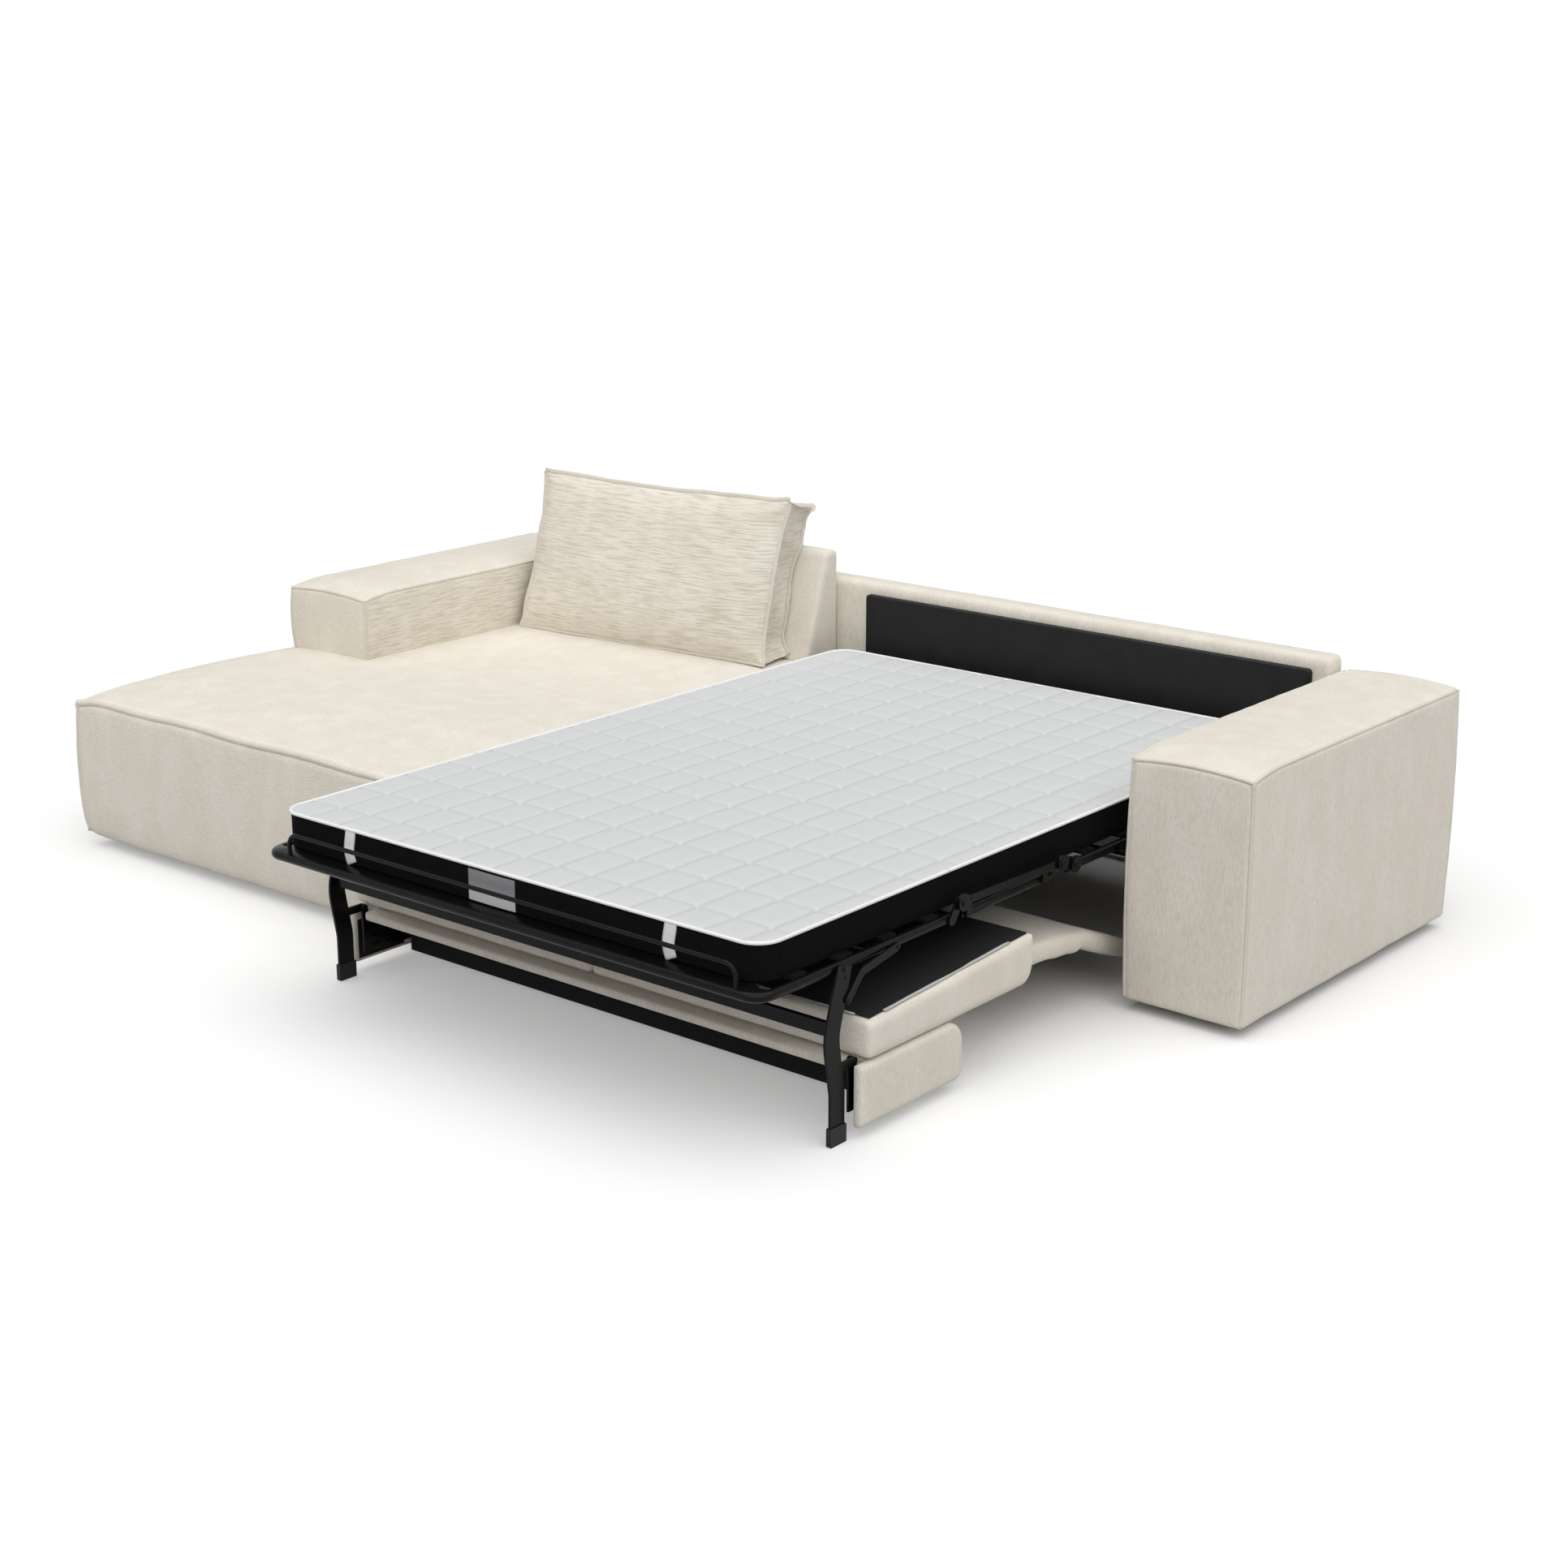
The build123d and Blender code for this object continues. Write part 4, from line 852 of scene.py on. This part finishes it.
def mattress_piece(name, body, y0, y1, foot_end, head_end, *replaced):
    """A length of the mattress: quilted top, black boxed sides, plain base."""
    fine = (-0.014, -0.009, -0.0055, -0.0025, 0.0, 0.0025, 0.0055, 0.009, 0.014)
    xs = np.array(fine_marks(BED_LEFT, BED_RIGHT, QUILT_X, FIRST_CHANNEL_X, 0.024, fine))
    ys = fine_marks(y0, y1, QUILT_Y, FIRST_CHANNEL_Y - QUILT_Y, 0.026, fine)
    turns = np.linspace(0, pi / 2, 9)
    if foot_end:
        ys = sorted(set(ys) | {FOOT_Y + CORNER * (1 - cos(a)) for a in turns})
    if head_end:
        ys = sorted(set(ys) | {HEAD_Y - CORNER * (1 - cos(a)) for a in turns})
    half = mattress_outline(foot_end, head_end)
    work = bmesh.new()
    rows = []
    for y in ys:
        width = half(y)
        row_x = BED_MID + (xs - BED_MID) * (width / BED_HALF)
        edge = np.minimum(width - np.abs(row_x - BED_MID), EDGE_ROUND)
        ends = [EDGE_ROUND]
        if foot_end:
            ends.append(y - FOOT_Y)
        if head_end:
            ends.append(HEAD_Y - y)
        edge = np.minimum(edge, min(ends))
        rise = np.sqrt(np.clip(1 - (1 - edge / EDGE_ROUND) ** 2, 0, 1))
        z = EDGE_Z - 0.002 + rise * (0.004 + quilt_height(row_x, np.full_like(row_x, y)))
        rows.append([work.verts.new((px, y, pz)) for px, pz in zip(row_x, z)])
    for low_row, high_row in zip(rows, rows[1:]):
        for i in range(len(xs) - 1):
            work.faces.new((low_row[i], low_row[i + 1], high_row[i + 1], high_row[i]))
    rim = list(rows[0]) + [row[-1] for row in rows[1:]] + list(reversed(rows[-1][:-1]))
    rim += [row[0] for row in reversed(rows[1:-1])]
    previous = rim
    for level in (0.62, 0.3, 0.0):
        ring = []
        for vert in rim:
            z = MATTRESS_BASE + (vert.co.z - MATTRESS_BASE) * level
            bulge = 0.003 * sin(pi * level)
            out = vert.co.x - BED_MID
            push = bulge * np.sign(out) if abs(out) > 0.6 and vert.co.y > FOOT_Y + CORNER else 0.0
            ring.append(work.verts.new((vert.co.x + push, vert.co.y, z)))
        for i in range(len(rim)):
            j = (i + 1) % len(rim)
            face = work.faces.new((previous[j], previous[i], ring[i], ring[j]))
            face.material_index = 1
        previous = ring
    base = work.faces.new(previous)
    base.material_index = 1
    bmesh.ops.triangulate(work, faces=[base])
    mesh = finished_mesh(name, work)
    piece = bpy.data.objects.new(name, mesh)
    scene.collection.objects.link(piece)
    mesh.materials.append(mattress_top)
    mesh.materials.append(mattress_side)
    mesh.polygons.foreach_set("use_smooth", [True] * len(mesh.polygons))
    mesh.set_sharp_from_angle(angle=radians(50))
    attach(piece, body)
    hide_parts(*replaced)
    edge_line = np.array(outline_points(y0, y1, half, foot_end, head_end))
    low_corner = np.array((BED_LEFT + CORNER, FOOT_Y + CORNER, EDGE_Z))
    high_corner = np.array((BED_RIGHT - CORNER, HEAD_Y - CORNER, EDGE_Z))
    outward = edge_line - np.clip(edge_line, low_corner, high_corner)
    edge_line = edge_line + outward / np.linalg.norm(outward, axis=1, keepdims=True) * 0.0005
    tape = add_object(f"{name}_piping", tube_mesh(edge_line, 0.004), white_tape)
    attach(tape, body)
    return piece, tape


def outline_points(y0, y1, half, foot_end, head_end):
    """The piped edge of a mattress length, from its head end round to the other side."""
    steps = np.linspace(y1, y0, 60)
    turns = np.linspace(0, pi / 2, 12)
    if foot_end:
        ys = [y for y in steps if y > FOOT_Y + CORNER]
        ys += [FOOT_Y + CORNER * (1 - sin(a)) for a in turns]
    elif head_end:
        ys = [y for y in reversed(steps) if y < HEAD_Y - CORNER]
        ys += [HEAD_Y - CORNER * (1 - sin(a)) for a in turns]
    else:
        return [(BED_MID + half(y), y, EDGE_Z) for y in steps]
    side = [(BED_MID + half(y), y, EDGE_Z) for y in ys]
    return side + [(BED_MID - half(y), y, EDGE_Z) for y in reversed(ys)]


main_pivot_y = FOOT_Y + 0.962
first_pivot_y = FOOT_Y + 0.597
mattress_piece("foot_mattress_cover", "foot_section", FOOT_Y, first_pivot_y, True, False, "foot_mattress")
squeeze_end_y = FOOT_Y + 1.132
mattress_piece("head_mattress_cover", "head_section", squeeze_end_y, HEAD_Y, False, True, "head_mattress")
squeezed_lengths = (
    ("middle_mattress_cover", "middle_section", first_pivot_y, main_pivot_y, "mid_mattress", "fold_mattress"),
    ("fold_mattress_cover", "head_section", main_pivot_y, squeeze_end_y, "head_mattress"),
)
for name, body, start_y, end_y, *replaced in squeezed_lengths:
    squeezed, tape = mattress_piece(name, body, start_y, end_y, False, False, *replaced)
    other_tape = bpy.data.objects.new(f"{name}_piping_left", tape.data.copy())
    other_tape.data.transform(Matrix.Translation((2 * BED_MID, 0, 0)) @ Matrix.Scale(-1, 4, (1, 0, 0)))
    other_tape.data.flip_normals()
    scene.collection.objects.link(other_tape)
    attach(other_tape, body)
    for part in (squeezed, tape, other_tape):
        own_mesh(part)

# Straps and label on the mattress's foot end
STRAP_POINTS = 16
STRAP_WIDTH = 0.033
BAND_THICK = 0.0024
for number, strap_x in enumerate((BED_LEFT + 0.235, BED_RIGHT - 0.235), 1):
    drop = np.linspace(0, 1, STRAP_POINTS)
    bow = 0.006 * np.cos(drop * pi * 1.3) + 0.010 * drop ** 2 - 0.004
    strap_y = np.full(STRAP_POINTS, FOOT_Y - 0.0015)
    strap_path = np.stack((strap_x + bow, strap_y, 0.462 - 0.078 * drop), axis=1)
    wide = np.tile((1.0, 0.0, 0.0), (STRAP_POINTS, 1))
    band = flange(strap_path, wide, STRAP_WIDTH, BAND_THICK, closed=False, lead=0.0)
    strap = add_object(f"mattress_strap_{number}", band, white_tape)
    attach(strap, "foot_section")
    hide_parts("mattress_straps")


THIN_EDGE = 0.0004


def thin_box(name, low, high, material, form=None):
    """A thin board or cloth between two corners, finely divided and shaped by a function."""
    raw, faces = box_grid(low, high, THIN_EDGE, 0.02)
    points, _ = rounded(raw, low, high, THIN_EDGE)
    if form is not None:
        points = form(points)
    return add_object(name, mesh_of(name, points, faces), material)


LABEL_LEFT = BED_LEFT + 0.602
LABEL_RIGHT = BED_LEFT + 0.738


def label_form(points):
    """The label's slight fullness."""
    shaped = points.copy()
    u = (points[:, 0] - LABEL_LEFT) / (LABEL_RIGHT - LABEL_LEFT)
    shaped[:, 1] -= 0.0012 * np.sin(pi * np.clip(u, 0, 1))
    return shaped


label = thin_box(
    "mattress_tag", (LABEL_LEFT, FOOT_Y - 0.0012, 0.3835), (LABEL_RIGHT, FOOT_Y, 0.4515),
    label_material(), label_form,
)
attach(label, "foot_section")
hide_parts("mattress_label")

# Cloth over the seat's underside, and its pale sewn edges
SEAT_LEFT = BED_LEFT - 0.06
SEAT_RIGHT = BED_RIGHT + 0.06
SEAT_START = FOOT_Y + 0.255
SEAT_END = SEAT_START + 0.575
SEAT_SLOPE = 0.029 / 0.575
SEAT_HEM = 0.014


def seat_top(y):
    """The height of the hanging seat's upper face."""
    return 0.245 + (y - SEAT_START) * SEAT_SLOPE


def seat_cloth_form(points):
    """Cloth lying on the sloping seat, with slight waves."""
    shaped = points.copy()
    flat = points.copy()
    flat[:, 2] = 0
    shaped[:, 2] += seat_top(points[:, 1]) + 0.0012 * (1 + fractal(flat, 7.0, 21.0))
    return shaped


seat_cloth_low = (SEAT_LEFT + SEAT_HEM, SEAT_START + SEAT_HEM, 0.0004)
seat_cloth_high = (SEAT_RIGHT - SEAT_HEM, SEAT_END - SEAT_HEM, 0.0024)
seat_cloth = thin_box("seat_cloth", seat_cloth_low, seat_cloth_high, felt, seat_cloth_form)
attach(seat_cloth, "foot_section")
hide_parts("seat_cover")
cloth_edges = {
    "right": ((SEAT_RIGHT - SEAT_HEM, SEAT_START + 0.06), (SEAT_RIGHT - SEAT_HEM, SEAT_END - 0.08)),
    "left": ((SEAT_LEFT + SEAT_HEM, SEAT_START + 0.06), (SEAT_LEFT + SEAT_HEM, SEAT_END - 0.08)),
    "rear": ((SEAT_LEFT + 0.05, SEAT_START + SEAT_HEM), (SEAT_RIGHT - 0.05, SEAT_START + SEAT_HEM)),
}
for key, ends in cloth_edges.items():
    strip_path = resampled([(x, y, seat_top(y) + 0.0028) for x, y in ends], 0.02)
    sway = fractal(strip_path, 9.0, 31.0) * 0.0015
    facing = (1.0, 0.0, 0.0) if key != "rear" else (0.0, 1.0, 0.0)
    strip_path = strip_path + np.outer(sway, facing)
    wide = np.tile(facing, (len(strip_path), 1))
    band = flange(strip_path, wide, 0.009, BAND_THICK, closed=False, lead=0.0)
    strip = add_object(f"seat_cloth_edge_{key}", band, pale_strip)
    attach(strip, "foot_section")

# Cloth that lines the backrest's recess
RECESS_WALL = FOOT_Y + 0.372
liners = {
    "wall": (
        (BED_LEFT - 0.002, RECESS_WALL - 0.0016, 0.0255),
        (BED_RIGHT + 0.002, RECESS_WALL - 0.0002, 0.1285),
    ),
    "right": (
        (BED_RIGHT + 0.0346, RECESS_WALL - 0.134, 0.033),
        (BED_RIGHT + 0.0358, RECESS_WALL + 0.006, 0.1285),
    ),
    "left": (
        (BED_LEFT - 0.0358, RECESS_WALL - 0.134, 0.033),
        (BED_LEFT - 0.0346, RECESS_WALL + 0.006, 0.1285),
    ),
}
for key, (low, high) in liners.items():
    lining = thin_box(f"recess_lining_{key}", low, high, felt)
    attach(lining, "backrest")
    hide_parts("backrest_liner")

# Painted shade: a black cloth under the long back, put in to keep the inside of the sofa dark
back_low, back_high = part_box("long_back")
shade_cloth_y = (back_low[1] + back_high[1]) / 2
shade_cloth_low = (chaise_high[0] + 0.02, shade_cloth_y, 0.003)
shade_cloth_high = (back_high[0] - 0.01, shade_cloth_y + 0.002, back_low[2] + 0.012)
shade_cloth = thin_box("shade_cloth", shade_cloth_low, shade_cloth_high, felt)
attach(shade_cloth, "sofa_body")

# Foot rail of the frame
RAIL_BEND = 0.037
RAIL_REACH = 0.034
RAIL_LIFT = 0.0055


def foot_rail_mesh(low, high):
    """A bent tube whose front run is drawn out flat under the mattress edge."""
    radius = (high[2] - low[2]) / 2
    left = low[0] + radius + RAIL_BEND
    right = high[0] - radius - RAIL_BEND
    inner = low[1] + radius + RAIL_BEND
    level = (low[2] + high[2]) / 2
    stations = [(left, high[1], -1.0, 0.0, 0.0)]
    for step in range(RAIL_STEPS + 1):
        angle = 0.5 * pi * step / RAIL_STEPS
        stations.append((left, inner, -cos(angle), -sin(angle), step / RAIL_STEPS))
    for step in range(RAIL_STEPS, -1, -1):
        angle = 0.5 * pi * step / RAIL_STEPS
        stations.append((right, inner, cos(angle), -sin(angle), step / RAIL_STEPS))
    stations.append((right, high[1], 1.0, 0.0, 0.0))
    work = bmesh.new()
    rings = []
    for x, y, out_x, out_y, flat in stations:
        ring = []
        for turn in range(RAIL_SIDES):
            angle = 2 * pi * turn / RAIL_SIDES
            share = min(max(0.5 - 3.0 * cos(angle), 0.0), 1.0)
            outward = RAIL_BEND + radius * cos(angle) - RAIL_REACH * flat * share
            height = level + radius * sin(angle) + RAIL_LIFT * flat * share
            ring.append(work.verts.new((x + out_x * outward, y + out_y * outward, height)))
        rings.append(ring)
    join_rings(work, rings)
    work.faces.new(rings[0])
    work.faces.new(rings[-1])
    return finished_mesh("foot_rail", work)


rail = add_object("foot_rail", foot_rail_mesh(*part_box("foot_end_tube")), metal)
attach(rail, "foot_section")
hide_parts("foot_end_tube")

# Rivets of the frame


def rivet_mesh(places):
    """Low domed rivet heads facing along X."""
    work = bmesh.new()
    for x, y, z, radius, facing in places:
        rings = []
        for level, share in ((0.0, 1.0), (0.55, 0.92), (0.85, 0.66), (1.0, 0.3)):
            ring = []
            for turn in range(RIVET_SIDES):
                angle = 2 * pi * turn / RIVET_SIDES
                around = radius * share
                spot = (x + facing * level * radius * 0.42, y + cos(angle) * around, z + sin(angle) * around)
                ring.append(work.verts.new(spot))
            rings.append(ring)
        join_rings(work, rings)
        work.faces.new(rings[-1])
    return finished_mesh("rivets", work)


# Each head: place along the bed and height, radius, and distance out from the side tubes
TUBE_SIDE = 0.722
rivets = {
    "foot_section": (
        (0.213, 0.365, 0.0085, 0.008), (0.2135, 0.345, 0.005, 0.008), (0.217, 0.296, 0.006, 0.012),
        (0.378, 0.365, 0.006, 0.012), (0.597, 0.400, 0.011, 0.017),
    ),
    "middle_section": ((0.962, 0.392, 0.011, 0.017), (0.629, 0.3985, 0.0055, 0.011)),
    "head_section": ((1.023, 0.374, 0.011, 0.011),),
}
for body, heads in rivets.items():
    places = []
    for y, z, radius, out in heads:
        for facing in (1, -1):
            places.append((BED_MID + facing * (TUBE_SIDE + out), FOOT_Y + y, z, radius, facing))
    heads_object = add_object(f"{body}_rivets", rivet_mesh(places), metal)
    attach(heads_object, body)

# Materials of the rigid pieces
finishes = {
    "black_metal": metal,
    "black_panel": panel_black,
    "black_plastic": plastic,
    "slat_wood": wood,
}
for entry in frame["record"]["subparts"]:
    finish = finishes.get(entry["material_slot"])
    if finish is None:
        continue
    mesh = nodes[entry["node"]].data
    mesh.materials.clear()
    mesh.materials.append(finish)

# Camera
CAMERA_YAW = 39.6
CAMERA_PITCH = -16.4
CAMERA_LENS = 58.74
CAMERA_PLACE = (4.1055, -4.5236, 2.1146)
camera_data = bpy.data.cameras.new("camera")
camera_data.lens = CAMERA_LENS
camera_data.sensor_width = 36.0
camera = bpy.data.objects.new("camera", camera_data)
camera.location = CAMERA_PLACE
camera.rotation_euler = (radians(90 + CAMERA_PITCH), 0, radians(CAMERA_YAW))
scene.collection.objects.link(camera)
scene.camera = camera

# Floor, darker to bouncing light than to the eye, and lit a little of itself in front of the sofa
FLOOR_HALF = 30
FLOOR_BOUNCE = (0.5, 0.5, 0.5)
FLOOR_SHOWN = (0.98, 0.98, 0.98)
FLOOR_LOSS = 0.58
FLOOR_GLOW = 0.29
GLOW_START_Y = -0.1
GLOW_FULL_Y = -0.6
floor_corners = [(x * FLOOR_HALF, y * FLOOR_HALF, 0) for x, y in ((-1, -1), (1, -1), (1, 1), (-1, 1))]
floor_mesh = mesh_of("floor", floor_corners, [(0, 1, 2, 3)])
floor_paint, floor_tree, floor_shader, make = new_material("floor_paint")
floor_shown = shown_rays(make, floor_tree)
floor_near = make("ShaderNodeMapRange")
floor_near.inputs["From Min"].default_value = GLOW_START_Y
floor_near.inputs["From Max"].default_value = GLOW_FULL_Y
floor_tree.links.new(place_axes(make, floor_tree)["Y"], floor_near.inputs["Value"])
floor_keep = make("ShaderNodeMath", operation="MULTIPLY_ADD")
floor_keep.inputs[1].default_value = -FLOOR_LOSS
floor_keep.inputs[2].default_value = 1.0
floor_tree.links.new(floor_near.outputs["Result"], floor_keep.inputs[0])
floor_share = combined(make, floor_tree, "MULTIPLY", floor_shown, floor_keep.outputs[0])
floor_tone = ramp(make, floor_tree, floor_share, 0.0, 1.0, FLOOR_BOUNCE, FLOOR_SHOWN)
floor_tree.links.new(floor_tone.outputs["Color"], floor_shader.inputs["Base Color"])
floor_glow = make("ShaderNodeMapRange")
floor_glow.inputs["To Max"].default_value = FLOOR_GLOW
floor_front = combined(make, floor_tree, "MULTIPLY", floor_shown, floor_near.outputs["Result"])
floor_tree.links.new(floor_front, floor_glow.inputs["Value"])
floor_tree.links.new(floor_glow.outputs["Result"], floor_shader.inputs["Emission Strength"])
floor_shader.inputs["Emission Color"].default_value = (1, 1, 1, 1)
floor_shader.inputs["Roughness"].default_value = 0.9
floor_shader.inputs["Specular IOR Level"].default_value = 0.1
floor = add_object("floor", floor_mesh, floor_paint, smooth=False)
floor.location.z = -0.0005

# World, white to the eye and dimmer as a source of light
WORLD_LIGHT = 0.22
WORLD_SHOWN = 1.0
world = bpy.data.worlds.new("world")
world.use_nodes = True
scene.world = world
world_tree = world.node_tree
make = node_maker(world_tree)
background = world_tree.nodes["Background"]
world_level = make("ShaderNodeMapRange")
world_level.inputs["To Min"].default_value = WORLD_LIGHT
world_level.inputs["To Max"].default_value = WORLD_SHOWN
world_tree.links.new(shown_rays(make, world_tree), world_level.inputs["Value"])
world_tree.links.new(world_level.outputs["Result"], background.inputs["Strength"])
background.inputs["Color"].default_value = (1, 1, 1, 1)

# Broad light from above
SUN_ENERGY = 2.84
SUN_SPREAD = radians(100)
sun_data = bpy.data.lights.new("overhead", "SUN")
sun_data.energy = SUN_ENERGY
sun_data.angle = SUN_SPREAD
sun = bpy.data.objects.new("overhead", sun_data)
sun.rotation_euler = (radians(15.5), radians(15), 0)
scene.collection.objects.link(sun)
